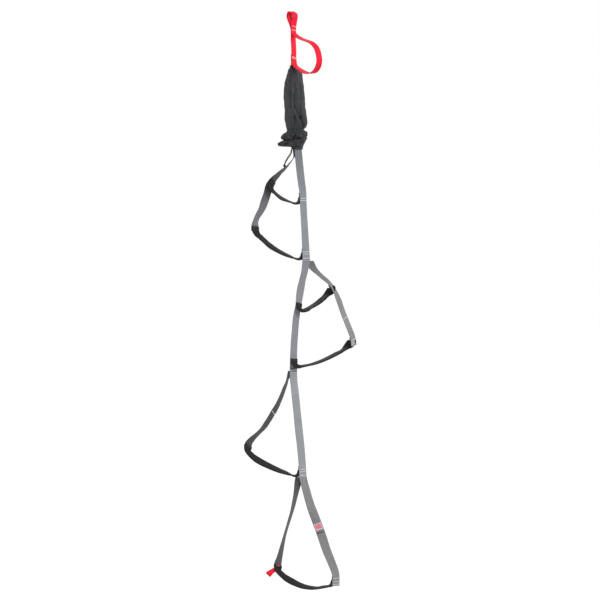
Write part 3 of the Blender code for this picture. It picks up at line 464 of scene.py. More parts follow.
# Bar tacks are dense zigzag rows of thread, raised on the webbing and pulled down at their ends.
STITCH_PITCH = 0.0007
TACK_THICK = 0.0005
TACK_HEIGHT = 0.0021
TACK_LENGTH = 0.0135
TACK_UNDERSIDE = 0.00008
TACK_SLANT_SHARE = 0.32
TACK_SMOOTH_ANGLE = math.radians(60)
EYE_TACK_DROPS = (0.052, 0.0411)


def walled(piece, thick):
    """Gives a shell its thickness, inwards."""
    piece.modifiers.new("wall", "SOLIDIFY").thickness = thick
    bpy.ops.object.modifier_apply(modifier="wall")


def bar_tack(name, middle, across, front, length, look, height=TACK_HEIGHT):
    """A grid laid on the webbing, whose columns rise as the thread's turns."""
    columns = 8 * round(length / STITCH_PITCH)
    down = across.cross(front).normalized()
    piece, chart = bare_grid(name, columns, 8)
    for mapped in chart.data:
        mapped.uv = (mapped.uv.x * length * 1000, mapped.uv.y * height * 1000)
    for vertex in piece.data.vertices:
        u, v = vertex.co.x * 2, vertex.co.y * 2
        turn = math.sin(math.pi * (vertex.co.x * length / STITCH_PITCH + 0.8 * v))
        swell = (1 - abs(u) ** 12) * math.sqrt(max(0, 1 - v * v))
        edge = 1 + 0.07 * turn * (abs(v) > 0.7)
        vertex.co = (
            middle + across * (vertex.co.x * length) + down * (vertex.co.y * height * edge)
            + front * (TACK_THICK * (swell * (0.62 + 0.38 * abs(turn)) - 0.5))
        )
    walled(piece, TACK_UNDERSIDE)
    bpy.ops.object.mode_set(mode="EDIT")
    bpy.ops.mesh.select_all(action="SELECT")
    bpy.ops.mesh.normals_make_consistent(inside=False)
    bpy.ops.object.mode_set(mode="OBJECT")
    bpy.ops.object.shade_smooth_by_angle(angle=TACK_SMOOTH_ANGLE)
    piece.data.materials.append(look)
    return piece


# The threads' yarn is fine beside the webbing's.
thread = partial(woven, rib=0.35, pick=0.8, edge=99, depth=0.00006)
pale_look = thread("pale_thread_yarn", (0.88, 0.55, 0.56), shade=0.6)
neck_face = -(RED_PITCH / 2 + RED_THICK / 2 + CLEARANCE + TACK_THICK / 2)
slanted = (SIDE - UP * TACK_SLANT_SHARE).normalized()
for number, (drop, replaced) in enumerate(zip(EYE_TACK_DROPS, (["eye_bar_tack_1"], []))):
    middle = Vector((0, neck_face, -drop))
    tack = bar_tack(f"eye_tack_row_{number}", middle, slanted, -BACK, TACK_LENGTH, pale_look)
    placed(tack, "clip_in", "pale_thread", *replaced)


# Sling strand and hand loop
# The same red webbing goes on from the neck: one strand down to the front of the grey spine, where pale tacks
# hold it, and one that stands off as a grab loop and comes back to the same tacks.
RED_FOLD_GAP = 0.0009
RED_FOLD_PITCH = RED_THICK + RED_FOLD_GAP
RAIL_THICK = 0.0018
SLING_END_DROP = 0.15
HAND_LOOP_REACH = 0.126
HAND_LOOP_DROP = 0.1163
SLING_TACK_DROP = 0.128
SLING_TACK_PITCH = 0.0032
SLING_SHARES = ((-0.48, 0.0), (-0.48, 0.08), (0.0, 0.3), (0.8, 0.5), (1.0, 0.62), (1.0, 1.0))
HAND_LOOP_SHARES = (
    (0.0076, 0), (0.04, 0.035), (0.08, 0.06), (0.155, 0.1), (0.34, 0.17), (0.53, 0.215), (0.71, 0.27),
    (0.9, 0.41), (0.985, 0.6), (1, 0.71), (0.965, 0.825), (0.86, 0.94), (0.675, 1), (0.53, 0.99),
    (0.34, 0.93), (0.155, 0.85), (0.07, 0.8), (0.037, 0.75), (0.031, 0.71), (0.031, 0.66),
)
# How far the loop's webbing is turned about its own run at each of these, in degrees.
HAND_LOOP_TURNS = (0, 0, 0, 2, 6, 8, 9, 11, 15, 18, 20, 19, 12, -2, -13, -8, -3, 0, 0, 0, 0)
strand_y = -(RAIL_THICK + RED_THICK) / 2 - CLEARANCE
sling_top = FOLD_1_DROP + RED_FOLD_PITCH
sling_length = SLING_END_DROP - sling_top
sling_path = [Vector((0, strand_y * y, -(sling_top + sling_length * z))) for y, z in SLING_SHARES]
sling_path[0].y = sling_path[1].y = RED_PITCH / 2
loop_path = [
    Vector((0, -HAND_LOOP_REACH * y, -(sling_top + HAND_LOOP_DROP * z))) for y, z in HAND_LOOP_SHARES
]
loop_path[0].y = -RED_PITCH / 2
loop_path[-1].y = loop_path[-2].y = strand_y - RED_PITCH
for path in (sling_path, loop_path):
    path.insert(0, Vector((0, path[0].y, -FOLD_1_DROP - CLEARANCE / 2)))
loop_stations = []
for i, (point, turn) in enumerate(zip(loop_path, HAND_LOOP_TURNS)):
    travel = (loop_path[min(i + 1, len(loop_path) - 1)] - loop_path[max(i - 1, 0)]).normalized()
    turn = math.radians(turn)
    loop_stations.append((point, SIDE * math.cos(turn) + travel.cross(SIDE) * math.sin(turn)))


def folded(piece, replaced):
    """Bakes a finished piece's place into its mesh, on no body, and hides the solid that it stands for."""
    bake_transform(piece)
    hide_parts(replaced)


for name, stations, replaced in (
    ("sling_webbing", [(point, SIDE) for point in sling_path], "sling_strand"),
    ("grab_loop_webbing", loop_stations, "hand_loop"),
):
    piece = lay_webbing(name, framed(smooth(stations), RED_WIDTH), RED_THICK, red_look)
    folded(piece, replaced)
sling_tack_face = strand_y - RED_THICK / 2 - CLEARANCE - TACK_THICK / 2
for number in range(2):
    middle = Vector((0, sling_tack_face, -SLING_TACK_DROP - SLING_TACK_PITCH * number))
    tack = bar_tack(f"sling_tack_row_{number}", middle, slanted, -BACK, TACK_LENGTH, pale_look)
    placed(tack, "section_1", "pale_thread", f"sling_bar_tack_{number + 1}")


# Spine and outer rails
# Grey nylon webbing, 25 mm wide. The spine carries the load from joint to joint; the outer rails start behind
# it, stand off in a long twist and come back as the foot loops' outer sides.
RAIL_WIDTH = 0.025
TUCK = 0.0018
RAIL_FOLD_GAP = 0.0006
FOLD_PITCH = RAIL_THICK + RAIL_FOLD_GAP
BACK_FOLD_PITCH = FOLD_PITCH + RAIL_FOLD_GAP
RAIL_PITCH = RAIL_THICK + CLEARANCE
SPINE_TOP_DROP = 0.1187
NECK_DROP = 0.154
FOLD_2_DROP = 0.6955
BAY_2_LENGTH = 0.3075
BAY_3_LENGTH = 0.3
BAY_4_LENGTH = 0.308
FOLD_3_DROP = FOLD_2_DROP + BAY_2_LENGTH
FOLD_4_DROP = FOLD_3_DROP + BAY_3_LENGTH
BEND_2_REACH = 0.044
BEND_4_REACH = 0.0327
LOOP_1_REACH = 0.131
LOOP_2_REACH = 0.208
LOOP_3_REACH = 0.156
FOOT_LEFT_REACH = 0.054
FOOT_RIGHT_REACH = 0.1456
LEVEL_SHARES = (1.0, 0.6, 0.25)
QUICK_LEVEL_SHARES = (1.0, 0.2, 0.0)
bay_1 = (SPINE_TOP_DROP, FOLD_2_DROP - SPINE_TOP_DROP)
bay_2 = (FOLD_2_DROP + FOLD_PITCH, BAY_2_LENGTH - FOLD_PITCH)
bay_3 = (FOLD_3_DROP + FOLD_PITCH, BAY_3_LENGTH - FOLD_PITCH)
bay_3_back = (FOLD_3_DROP + BACK_FOLD_PITCH, BAY_3_LENGTH - BACK_FOLD_PITCH)
bay_4 = (FOLD_4_DROP + FOLD_PITCH, BAY_4_LENGTH - FOLD_PITCH)
# Rows are (across share, down share, roll) and, behind another webbing, the layers between.
SPINE_1_SHARES = (
    (0, 0, 0), (0, 0.06, 0), (0.1, 0.25, 0), (0.37, 0.47, 0), (0.61, 0.615, 2),
    (0.735, 0.675, 6), (0.77, 0.73, 8), (0.9, 0.874, 7), (0.985, 0.982, 0), (1, 1, 0),
)
LEG_1_SHARES = (
    (0.11, 0.408, 0, 1.5), (0.105, 0.446, 6, 1.9), (0.095, 0.465, 12, 2.4), (0.042, 0.494, 46, 2.6),
    (0.002, 0.511, 62, 1.7), (-0.089, 0.532, 58, 1), (-0.193, 0.554, 54, 0.6), (-0.292, 0.569, 48, 0.3),
    (-0.37, 0.583, 39), (-0.443, 0.597, 33), (-0.522, 0.612, 20), (-0.624, 0.641, 2),
    (-0.69, 0.684, 2), (-0.773, 0.729, 0), (-0.835, 0.758, 15), (-0.926, 0.787, 24),
    (-0.98, 0.813, 20), (-1, 0.835, 4), (-1, 0.86, 0),
)
SPINE_2_SHARES = (
    (1, 0, 0), (0.965, 0.03, 3), (0.88, 0.09, 13), (0.72, 0.17, 12), (0.57, 0.255, 3),
    (0.49, 0.31, 5), (0.405, 0.39, 15), (0.21, 0.53, 9), (0.13, 0.64, 9), (0.05, 0.77, 8),
    (0.01, 0.91, 4), (0, 1, 0),
)
LEG_2_SHARES = (
    (0.264, 0, 0, 1.4), (0.31, 0.036, 10, 2.6), (0.355, 0.068, 24, 3), (0.393, 0.091, 32, 2.8),
    (0.487, 0.146, 42, 1.8), (0.593, 0.2, 43, 0.7), (0.659, 0.255, 40), (0.73, 0.337, 26),
    (0.818, 0.474, 23), (0.934, 0.638, 22), (0.976, 0.7, 20), (1, 0.78, 18),
)
SPINE_3_SHARES = (
    (0, 0, 0), (0, 0.045, 0), (0.04, 0.095, 4), (0.17, 0.2, 1), (0.385, 0.39, -1),
    (0.575, 0.56, -4), (0.78, 0.73, -1), (0.91, 0.87, 1), (1, 1, 0),
)
LEG_3_SHARES = (
    (-0.015, 0, 0, 1.2), (-0.045, 0.022, 22, 2.2), (-0.083, 0.052, 38, 2.8), (-0.127, 0.114, 42, 2.4),
    (-0.187, 0.17, 36, 1.6), (-0.241, 0.226, 34, 0.9), (-0.303, 0.282, 32, 0.3), (-0.368, 0.338, 28),
    (-0.447, 0.394, 26), (-0.524, 0.45, 27), (-0.609, 0.506, 28), (-0.717, 0.562, 40),
    (-0.845, 0.617, 36), (-0.935, 0.657, 20), (-0.982, 0.69, 2), (-1, 0.715, -9),
)
LEG_4_RIGHT_SHARES = (
    (0, 0, 0), (0.1, 0.118, -9), (0.23, 0.255, -14), (0.395, 0.39, -35),
    (0.56, 0.527, -37), (0.71, 0.664, -16), (0.89, 0.8, -5), (0.985, 0.88, 0), (1, 1, 0),
)
LEG_4_LEFT_SHARES = (
    (0.39, 0, 0, 1.2), (0.35, 0.04, 10, 2), (0.3, 0.09, 20, 2.6), (0.19, 0.173, 27, 2.6),
    (0.08, 0.227, 30, 1.6), (-0.095, 0.31, 37, 0.3), (-0.267, 0.39, 40), (-0.495, 0.5, 41),
    (-0.64, 0.582, 35), (-0.772, 0.664, 26), (-0.906, 0.745, 14), (-0.985, 0.79, -2), (-1, 0.808, -10),
)


def rolled(points, rolls):
    """Stations from centres and rolls in degrees: 0 lies flat to the front, 90 is a flat step."""
    stations = []
    for i, (point, roll) in enumerate(zip(points, rolls)):
        travel = (points[min(i + 1, len(points) - 1)] - points[max(i - 1, 0)]).normalized()
        flat = travel.cross(BACK).normalized()
        across = math.cos(math.radians(roll)) * flat + math.sin(math.radians(roll)) * BACK
        stations.append((point, (across - across.dot(travel) * travel).normalized()))
    return stations


def rail(bay, reach, shares, from_reach=0, flat_end=False, taper=None, levels=LEVEL_SHARES):
    """A rail: its frames over a bay, and the bay. levels says how far its first stations lie level."""
    points = [
        Vector((from_reach + (reach - from_reach) * x, RAIL_PITCH * sum(layers), -(bay[0] + bay[1] * down)))
        for x, down, roll, *layers in shares
    ]
    stations = rolled(points, [row[2] for row in shares])
    for i, level_share in enumerate(levels):
        centre, across = stations[i]
        stations[i] = (centre, (SIDE * level_share + across * (1 - level_share)).normalized())
    if flat_end:
        stations[-1] = (stations[-1][0], SIDE.copy())
    return framed(smooth(stations), RAIL_WIDTH, taper), bay


spine_1 = rail(bay_1, BEND_2_REACH, SPINE_1_SHARES, flat_end=True,
               taper=(RED_WIDTH, NECK_DROP, NECK_DROP - SPINE_TOP_DROP))
leg_1 = rail(bay_1, LOOP_1_REACH, LEG_1_SHARES)
spine_2 = rail(bay_2, BEND_2_REACH, SPINE_2_SHARES, flat_end=True)
leg_2 = rail(bay_2, LOOP_2_REACH, LEG_2_SHARES)
spine_3 = rail(bay_3, BEND_4_REACH, SPINE_3_SHARES, flat_end=True)
leg_3 = rail(bay_3_back, LOOP_3_REACH, LEG_3_SHARES, levels=QUICK_LEVEL_SHARES)
leg_4_right = rail(bay_4, FOOT_RIGHT_REACH, LEG_4_RIGHT_SHARES, from_reach=BEND_4_REACH)
leg_4_left = rail(bay_4, FOOT_LEFT_REACH, LEG_4_LEFT_SHARES)


def led_in(frames, drop):
    """The same frames, begun at the end of the webbing above, which goes on without a cut."""
    centre, travel, across, width = frames[0]
    lead = centre.copy()
    lead.z = -drop - CLEARANCE / 2
    return [(lead, travel, across, width)] + frames


# The last left rail's top is tucked in behind the webbing above it.
top_frame = leg_4_left[0][0]
leg_4_left[0].insert(0, (top_frame[0] + UP * TUCK, *top_frame[1:]))
# Painted light and shade: each length has its own tone of the one grey webbing, and the legs are darker
# where they face down or away. Fades are painted shade and light that say where a webbing is darker: (tone
# at its upper end, height there, height where it ends).
for name, (frames, _), yarn, colour, shade, patch, fade, slot, *bodies in (
    ("spine_1", spine_1, "grey_webbing_upper", (0.262, 0.28, 0.305), 0.4, 0.16, (0.75, -0.4, -0.56),
     "grey_webbing", "section_1"),
    ("leg_1", leg_1, "worn_grey_webbing", (0.172, 0.17, 0.19), 0.45, 0.3, (0.36, -0.47, -0.56),
     "dark_grey_webbing", "section_1"),
    ("leg_2", leg_2, "warm_grey_webbing", (0.27, 0.27, 0.268), 0.4, 0.25, (0.62, -0.72, -0.84),
     "warm_grey_webbing", "section_2"),
    ("leg_3", leg_3, "dark_grey_webbing", (0.062, 0.062, 0.065), 0.45, 0.3, NO_FADE,
     "dark_grey_webbing", "section_3"),
    ("leg_4_left", leg_4_left, "soft_dark_webbing", (0.098, 0.098, 0.101), 0.45, 0.3, (0.6, -1.31, -1.36),
     "dark_grey_webbing", "section_4"),
    ("spine_2", spine_2, "grey_webbing_middle", (0.268, 0.268, 0.3), 0.4, 0.16, (0.9, -0.7, -0.8),
     "grey_webbing", "section_1", "section_2", FOLD_2_DROP),
    ("spine_3", spine_3, "grey_webbing_lower", (0.33, 0.342, 0.362), 0.4, 0.16, NO_FADE,
     "grey_webbing", "section_2", "section_3", FOLD_3_DROP),
    ("leg_4_right", leg_4_right, "grey_webbing_foot", (0.262, 0.264, 0.272), 0.4, 0.22, NO_FADE,
     "grey_webbing", "section_3", "section_4", FOLD_4_DROP),
):
    # Painted light and shade: each length's own copy of the grey webbing, with its tone and fade.
    look = woven(yarn, colour, shade=shade, patch=patch, fade=fade)
    if len(bodies) == 1:
        placed(lay_webbing(name + "_webbing", frames, RAIL_THICK, look), *bodies, slot, name)
    else:
        drop = bodies.pop()
        piece = lay_webbing(name + "_webbing", led_in(frames, drop), RAIL_THICK, look)
        folded(piece, name)


# Steps
# Black webbing across each foot loop: two thin ones for a toe and four sleeves round a stiff strip. The left
# end is sewn to the front of its rail and turns flat round its edge; the right end goes up behind its rail.
STEP_WIDTH = 0.025
STEP_THICK = 0.0042
SUBSTEP_THICK = 0.003
SEWN_THICK = 0.0026
SLEEVE_WALL = 0.00054
LEAD_SHARE = 0.2
DRIFT_SHARE = 0.45
TURNED_SHARE = 0.95
# Ways from a tab to the flat step, in shares of the step's width: (in, out, down, roll).
LEVEL_CORNER_SHARES = (
    (0.025, 0.07, 0.2, 8), (0.1, 0.14, 0.38, 17), (0.22, 0.21, 0.54, 26), (0.37, 0.26, 0.67, 36),
    (0.54, 0.275, 0.76, 55), (0.67, 0.26, 0.8, 70), (0.82, 0.235, 0.83, 82),
)
STEEP_CORNER_SHARES = (
    (0.02, 0.07, 0.2, 8), (0.08, 0.14, 0.39, 17), (0.19, 0.21, 0.56, 27), (0.33, 0.26, 0.7, 38),
    (0.48, 0.275, 0.82, 54), (0.64, 0.27, 0.94, 68), (0.8, 0.25, 1.05, 80),
)
LEAN_CORNER_SHARES = (
    (0.02, 0.04, 0.2, 10), (0.08, 0.08, 0.39, 21), (0.18, 0.11, 0.56, 32), (0.32, 0.13, 0.71, 42),
    (0.48, 0.14, 0.84, 50), (0.64, 0.14, 0.96, 55), (0.8, 0.14, 1.08, 58),
)
# The left ends of the middle steps are folded over sideways.
FOLDED_CORNER_SHARES = (
    (0.01, 0.06, 0.15, 6), (0.05, 0.11, 0.28, 14), (0.13, 0.16, 0.39, 24), (0.25, 0.19, 0.47, 37),
    (0.4, 0.2, 0.52, 52), (0.56, 0.21, 0.54, 65), (0.72, 0.21, 0.55, 76),
)
# One corner of a sleeve's section: it is fuller in its middle and drawn thin along its two sewn edges.
SLEEVE_CORNER_SHARES = ((1, 0.16), (0.985, 0.36), (0.93, 0.52), (0.84, 0.7), (0.7, 0.93), (0.45, 1))
sleeve_section = whole_section(SLEEVE_CORNER_SHARES)
TAB_ROW_SHARES = (0.3, 0.75)
TAB_ROW_LENGTH = 0.021
ROW_LIFT = 0.0001


def at_drop(frames, drop):
    """The frame of a rail at a height, and how many of its frames lie above."""
    for i, (a, b) in enumerate(zip(frames, frames[1:])):
        if a[0].z >= -drop >= b[0].z:
            t = (a[0].z + drop) / (a[0].z - b[0].z)
            centre, travel, across = (a[k].lerp(b[k], t) for k in range(3))
            return (centre, travel.normalized(), across.normalized(), a[3]), i + 1
    centre, travel, across, width = frames[-1]
    return (centre - travel * ((drop + centre.z) / travel.z), travel, across, width), len(frames)


def at_share(rail, share):
    """The frame of a rail at a share of its bay."""
    frames, (top, length) = rail
    return at_drop(frames, top + length * share)[0]


def on_rail(frames, top, end, offset, width, upward=False):
    """Frames of a layer that lies along a rail's face from one height down to another."""
    first, start = at_drop(frames, top)
    last, stop = at_drop(frames, end)
    inside = [f for f in frames[start:stop] if min((f[0] - e[0]).length for e in (first, last)) > CLEARANCE]
    layer = []
    for centre, travel, across, _ in [first] + inside + [last]:
        front = travel.cross(across).normalized()
        layer.append((centre + front * offset, -travel if upward else travel, across, width))
    return list(reversed(layer)) if upward else layer


def corner(tab_end, side, shares):
    """Centres and rolls from a tab's end to the flat step; side is 1 at the left tab, -1 at the right."""
    anchor, travel, across, _ = tab_end
    lean = math.degrees(math.asin(across.y))
    drift = UP - travel / travel.z
    points = []
    rolls = []
    for x, out, down, roll in shares:
        carried = DRIFT_SHARE * (1 - math.exp(-down / DRIFT_SHARE))
        points.append(anchor + STEP_WIDTH * (Vector((side * x, -side * out, -down)) + drift * carried))
        turned = lean + roll * (1 - lean / 90)
        rolls.append(turned if side > 0 else 180 - turned)
    return points, rolls


def step(number, body, left, right, shares, most, turned):
    """A step between two rails. left and right are (rail, tab top share, tab end share, corner shares).

    shares are (way along, sag, roll); most is the left corner's greatest roll; a turned step shows its front
    as far as its right end. Steps 1 and 3 are thin ones for a toe.
    """
    name = f"tread_{number}"
    sleeve = number not in (1, 3)
    thick = STEP_THICK if sleeve else SUBSTEP_THICK
    offset = (RAIL_THICK + thick) / 2 + CLEARANCE
    near, far = (
        on_rail(frames, top + length * start, top + length * end, lift, STEP_WIDTH, lift < 0)
        for ((frames, (top, length)), start, end, _), lift in ((left, offset), (right, -offset))
    )
    points, rolls = corner(near[-1], 1, left[3])
    rolls = [min(roll, most) for roll in rolls]
    far_points, far_rolls = corner(far[0], -1, right[3])
    if turned:
        far = [(centre, travel, -across, width) for centre, travel, across, width in far]
        far_rolls = [(180 - roll) * TURNED_SHARE for roll in far_rolls]
    start, finish = points[-1], far_points[-1]
    for along, sag, roll in shares:
        points.append(start.lerp(finish, along) - UP * (sag * (finish - start).length))
        rolls.append(roll)
    points = [near[-1][0]] + points + list(reversed(far_points)) + [far[0][0]]
    middle = rolled(points, [0] + rolls + list(reversed(far_rolls)) + [0 if turned else 180])[1:-1]
    lead = STEP_WIDTH * LEAD_SHARE
    ends = (near[-1][0], near[-1][2]), (far[0][0], far[0][2])
    outer = (ends[0][0] - near[-1][1] * lead, ends[0][1]), (ends[1][0] + far[0][1] * lead, ends[1][1])
    path = [outer[0], ends[0]] + middle + [ends[1], outer[1]]
    lead_count = max(2, math.ceil(lead / SPACING))
    path = smooth(path)[lead_count:-lead_count]
    bend = framed(path, STEP_WIDTH)[1:-1]
    frames = near + bend + far
    # The ends are sewn flat; the sleeve fills out where it leaves the rail.
    along = distances([frame[0] for frame in frames])
    tab_near, tab_far = along[len(near) - 1], along[-1] - along[len(near) + len(bend)]
    thin = min(thick, SEWN_THICK)
    thicks = []
    for run in along:
        out = min((run - tab_near) / STEP_WIDTH, (along[-1] - tab_far - run) / STEP_WIDTH)
        fill = min(1, max(0, out))
        thicks.append(thin + (thick - thin) * fill * fill * (3 - 2 * fill))
    flush = [-1 if turned and run > along[-1] / 2 else 1 for run in along]
    piece = lay_webbing(name + "_webbing", frames, thick, black_look,
                        sleeve_section if sleeve else strap_section, thicks, not sleeve, flush=flush)
    if sleeve:
        walled(piece, SLEEVE_WALL)
        inner = [(centre, travel, across, STRIP_WIDTH) for centre, travel, across, _ in bend]
        inner = inner[round(len(inner) * STRIP_END_SHARE):-round(len(inner) * STRIP_END_SHARE)]
        strip = lay_webbing(f"stiffener_{number}_strip", inner, STRIP_THICK, strip_look, ripple=0)
        placed(strip, body, "stiffener_plastic", f"stiffener_{number}")
    placed(piece, body, "black_webbing", name)
    # The tab is sewn to its rail by two rows of dark thread.
    for row, share in enumerate(TAB_ROW_SHARES):
        spot = near[min(len(near) - 2, max(1, round((len(near) - 1) * share)))]
        tack = thread_row(f"{name}_tab_row_{row}", spot, thin - thick / 2 + TACK_THICK / 2 + ROW_LIFT,
                          TAB_ROW_LENGTH, black_thread_look)
        placed(tack, body, "grey_thread")


def thread_row(name, spot, lift, length, look, height=TACK_HEIGHT):
    """A bar tack straight across the webbing at one of its frames."""
    centre, travel, across, _ = spot
    front = travel.cross(across).normalized()
    return bar_tack(name, centre + front * lift, across, front, length, look, height)


# The stiff strips inside the four sleeves are flat pale plastic.
STRIP_WIDTH = 0.02
STRIP_THICK = 0.0016
STRIP_END_SHARE = 0.16
strip_look = bpy.data.materials.new("stiff_strip")
strip_look.use_nodes = True
strip_tree = strip_look.node_tree
strip_shader = strip_tree.nodes["Principled BSDF"]
strip_spot = strip_tree.nodes.new("ShaderNodeTexCoord").outputs["Object"]
strip_grain = node(strip_tree, "TexNoise", strip_spot, None, 220.0, 3.0, 0.6)
strip_rough = maths(strip_tree, "MULTIPLY_ADD", strip_grain, 0.2, 0.35)
strip_tree.links.new(strip_rough, strip_shader.inputs["Roughness"])
strip_tone = maths(strip_tree, "MULTIPLY_ADD", strip_grain, 0.1, 0.42)
strip_colour = node(strip_tree, "CombineColor", strip_tone, strip_tone, strip_tone)
strip_tree.links.new(strip_colour, strip_shader.inputs["Base Color"])

black_thread_look = thread("black_thread_yarn", (0.045, 0.045, 0.048))
black_look = woven("black_webbing_yarn", (0.0125, 0.0125, 0.0132), rib=1.1, pick=1.2, shade=0.55, patch=0.2,
                   sheen=0.02)
black_look.node_tree.nodes["Principled BSDF"].inputs["Specular IOR Level"].default_value = 0.12
for number, section, left, right, shares, most in (
    (1, 1, (leg_1, 0.614, 0.634, STEEP_CORNER_SHARES), (spine_1, 0.672, 0.686, LEVEL_CORNER_SHARES),
     ((0.2, 0.05, 52), (0.45, 0.052, 63), (0.75, 0.036, 73)), 50),
    (2, 1, (leg_1, 0.838, 0.855, STEEP_CORNER_SHARES), (spine_1, 0.943, 0.957, LEVEL_CORNER_SHARES),
     ((0.2, 0.048, 37), (0.32, 0.056, 42), (0.44, 0.061, 47), (0.56, 0.059, 52), (0.68, 0.05, 58),
      (0.8, 0.037, 65)), 35),
    (3, 2, (spine_2, 0.386, 0.408, FOLDED_CORNER_SHARES), (leg_2, 0.205, 0.228, STEEP_CORNER_SHARES),
     ((0.15, 0.016, 85), (0.35, 0.037, 84), (0.6, 0.045, 82), (0.8, 0.03, 80)), 76),
    (4, 2, (spine_2, 0.898, 0.92, FOLDED_CORNER_SHARES), (leg_2, 0.697, 0.717, STEEP_CORNER_SHARES),
     ((0.14, 0.028, 85), (0.28, 0.046, 84), (0.4, 0.051, 83), (0.52, 0.051, 83), (0.64, 0.045, 82),
      (0.8, 0.03, 81)), 74),
    (5, 3, (leg_3, 0.695, 0.718, LEAN_CORNER_SHARES), (spine_3, 0.897, 0.917, LEVEL_CORNER_SHARES),
     ((0.15, 0.023, 30), (0.3, 0.031, 35), (0.42, 0.034, 39), (0.52, 0.034, 43), (0.62, 0.031, 48),
      (0.72, 0.025, 54), (0.85, 0.014, 63)), 29),
    (6, 4, (leg_4_left, 0.796, 0.815, LEAN_CORNER_SHARES), (leg_4_right, 0.908, 0.929, LEVEL_CORNER_SHARES),
     ((0.12, 0.04, 30), (0.24, 0.066, 34), (0.36, 0.088, 43), (0.48, 0.095, 53), (0.58, 0.094, 61),
      (0.68, 0.083, 70), (0.8, 0.064, 81)), 30),
):
    step(number, f"section_{section}", left, right, shares, most, turned=section == 2)


# Bar tacks on the rails
# Grey thread, sewn in short dense rows across the webbing. It holds the steps' right ends behind their rails,
# and where two lengths of webbing are joined, one more row crosses them.
RAIL_TACK_LENGTH = 0.022
JOIN_ROW_LENGTH = 0.023
grey_thread_look = thread("grey_thread_yarn", (0.6, 0.61, 0.63), shade=0.6)
for group, rail_under, shares in (
    (1, spine_1, (0.7, 0.711, 0.96, 0.971)), (2, leg_2, (0.725, 0.745, 0.762)),
    (3, spine_3, (0.02, 0.93, 0.95)), (4, leg_4_right, (0.93, 0.96)),
):
    for number, share in enumerate(shares, 1):
        tack = thread_row(f"rail_tack_{group}_{number}", at_share(rail_under, share),
                          (RAIL_THICK + TACK_THICK) / 2 + CLEARANCE, RAIL_TACK_LENGTH, grey_thread_look)
        placed(tack, f"section_{group}", "grey_thread", f"step_tacks_{group}_{number}")
for name, rail_under, share, look, section in (
    ("spine_1_end", spine_1, 0.991, grey_thread_look, 1),
    ("spine_2_end", spine_2, 0.985, black_thread_look, 2),
    ("spine_3_end", spine_3, 0.985, grey_thread_look, 3),
    ("leg_2_join", leg_2, 0.525, grey_thread_look, 2),
    ("leg_3_join", leg_3, 0.392, grey_thread_look, 3),
    ("leg_4_right_join", leg_4_right, 0.505, black_thread_look, 4),
    ("leg_4_right_end", leg_4_right, 0.985, grey_thread_look, 4),
):
    tack = thread_row(name + "_row", at_share(rail_under, share), (RAIL_THICK + TACK_THICK) / 2 + ROW_LIFT,
                      JOIN_ROW_LENGTH, look)
    placed(tack, f"section_{section}", "grey_thread")


# Label
# A small woven label of red and pale yarn, with a pale border and a plain hatched face. It is sewn flat on
# the front of the lowest right rail.
LABEL_WIDTH = 0.021
LABEL_LENGTH = 0.0185
LABEL_THICK = 0.0006
LABEL_SHARE = 0.45
# In millimetres on the label's own map.
FACE_HALF_WIDTH = 10.5
FACE_HALF_LENGTH = 9.2
FACE_MIDDLE = 9.4
HATCH_RATE = 1.9
label_top = bay_4[0] + bay_4[1] * LABEL_SHARE - LABEL_LENGTH / 2
label_lift = (RAIL_THICK + LABEL_THICK) / 2 + CLEARANCE
label_frames = on_rail(leg_4_right[0], label_top, label_top + LABEL_LENGTH, label_lift, LABEL_WIDTH)
label_look = woven("label_yarn", (0.84, 0.1, 0.17), rib=0.3, pick=0.45, edge=99, shade=0.3, depth=0.00006)
label_tree = label_look.node_tree
calc = partial(maths, label_tree)
label_x, label_y, _ = parts(label_tree, node(label_tree, "UVMap", uv_map="weave"))
side_gap = calc("SUBTRACT", FACE_HALF_WIDTH, calc("ABSOLUTE", label_x))
end_gap = calc("SUBTRACT", FACE_HALF_LENGTH, calc("ABSOLUTE", calc("SUBTRACT", label_y, FACE_MIDDLE)))
border = node(label_tree, "MapRange", calc("MINIMUM", side_gap, end_gap), 1.7, 2.0, 1.0, 0.0)
slants, crossed = (
    calc("SINE", calc("MULTIPLY", calc(way, label_x, label_y), HATCH_RATE)) for way in ("ADD", "SUBTRACT")
)
hatch = calc("GREATER_THAN", calc("MULTIPLY", slants, crossed), 0.25)
over(label_look, calc("MAXIMUM", border, hatch), (0.86, 0.62, 0.66, 1))
label = lay_webbing("label_patch", label_frames, LABEL_THICK, label_look, ripple=0)
placed(label, "section_4", "red_webbing", "label")


# Pull tab
# A short loop of thin red tape at the lowest step's left corner, folded on itself and sewn at its ends, to
# pull the lowest step by.
PULL_TAB_LENGTH = 0.027
PULL_TAB_WIDTH = 0.014
PULL_TAB_THICK = 0.0012
PULL_TAB_BULGE = 0.0042
PULL_TAB_TURN = math.radians(38)
PULL_TAB_LEAN = math.radians(32)
PULL_TAB_TURN_RATE = 1.4
PULL_TAB_END_SHARE = 0.78
PULL_TAB_WIDER_SHARE = 0.36
PULL_TAB_SHARES = (
    (0, -0.42), (0.2, -0.62), (0.5, -1), (0.8, -1), (0.915, -1), (0.975, -0.7), (1, 0),
    (0.975, 0.7), (0.915, 1), (0.8, 1), (0.5, 1), (0.2, 0.62), (0, 0.42),
)
PULL_ROW_SHARE = 0.801
PULL_ROW_LENGTH = 0.011
PULL_ROW_HEIGHT = 0.0026
hinge = Vector([joint for joint in frame["joints"] if joint["child"] == "pull_tab"][0]["pos_m"])
pull_way = -SIDE * math.cos(PULL_TAB_LEAN) - UP * math.sin(PULL_TAB_LEAN)
pull_across = UP * math.cos(PULL_TAB_LEAN) - SIDE * math.sin(PULL_TAB_LEAN)
pull_path = []
for along, out in PULL_TAB_SHARES:
    turn = PULL_TAB_TURN * min(1, along * PULL_TAB_TURN_RATE)
    across = pull_across * math.cos(turn) + BACK * math.sin(turn)
    outward = pull_way.cross(across).normalized()
    outward *= math.copysign(1, outward.y)
    centre = hinge + pull_way * (PULL_TAB_LENGTH * along) + outward * (PULL_TAB_BULGE * out)
    pull_path.append((centre, across))
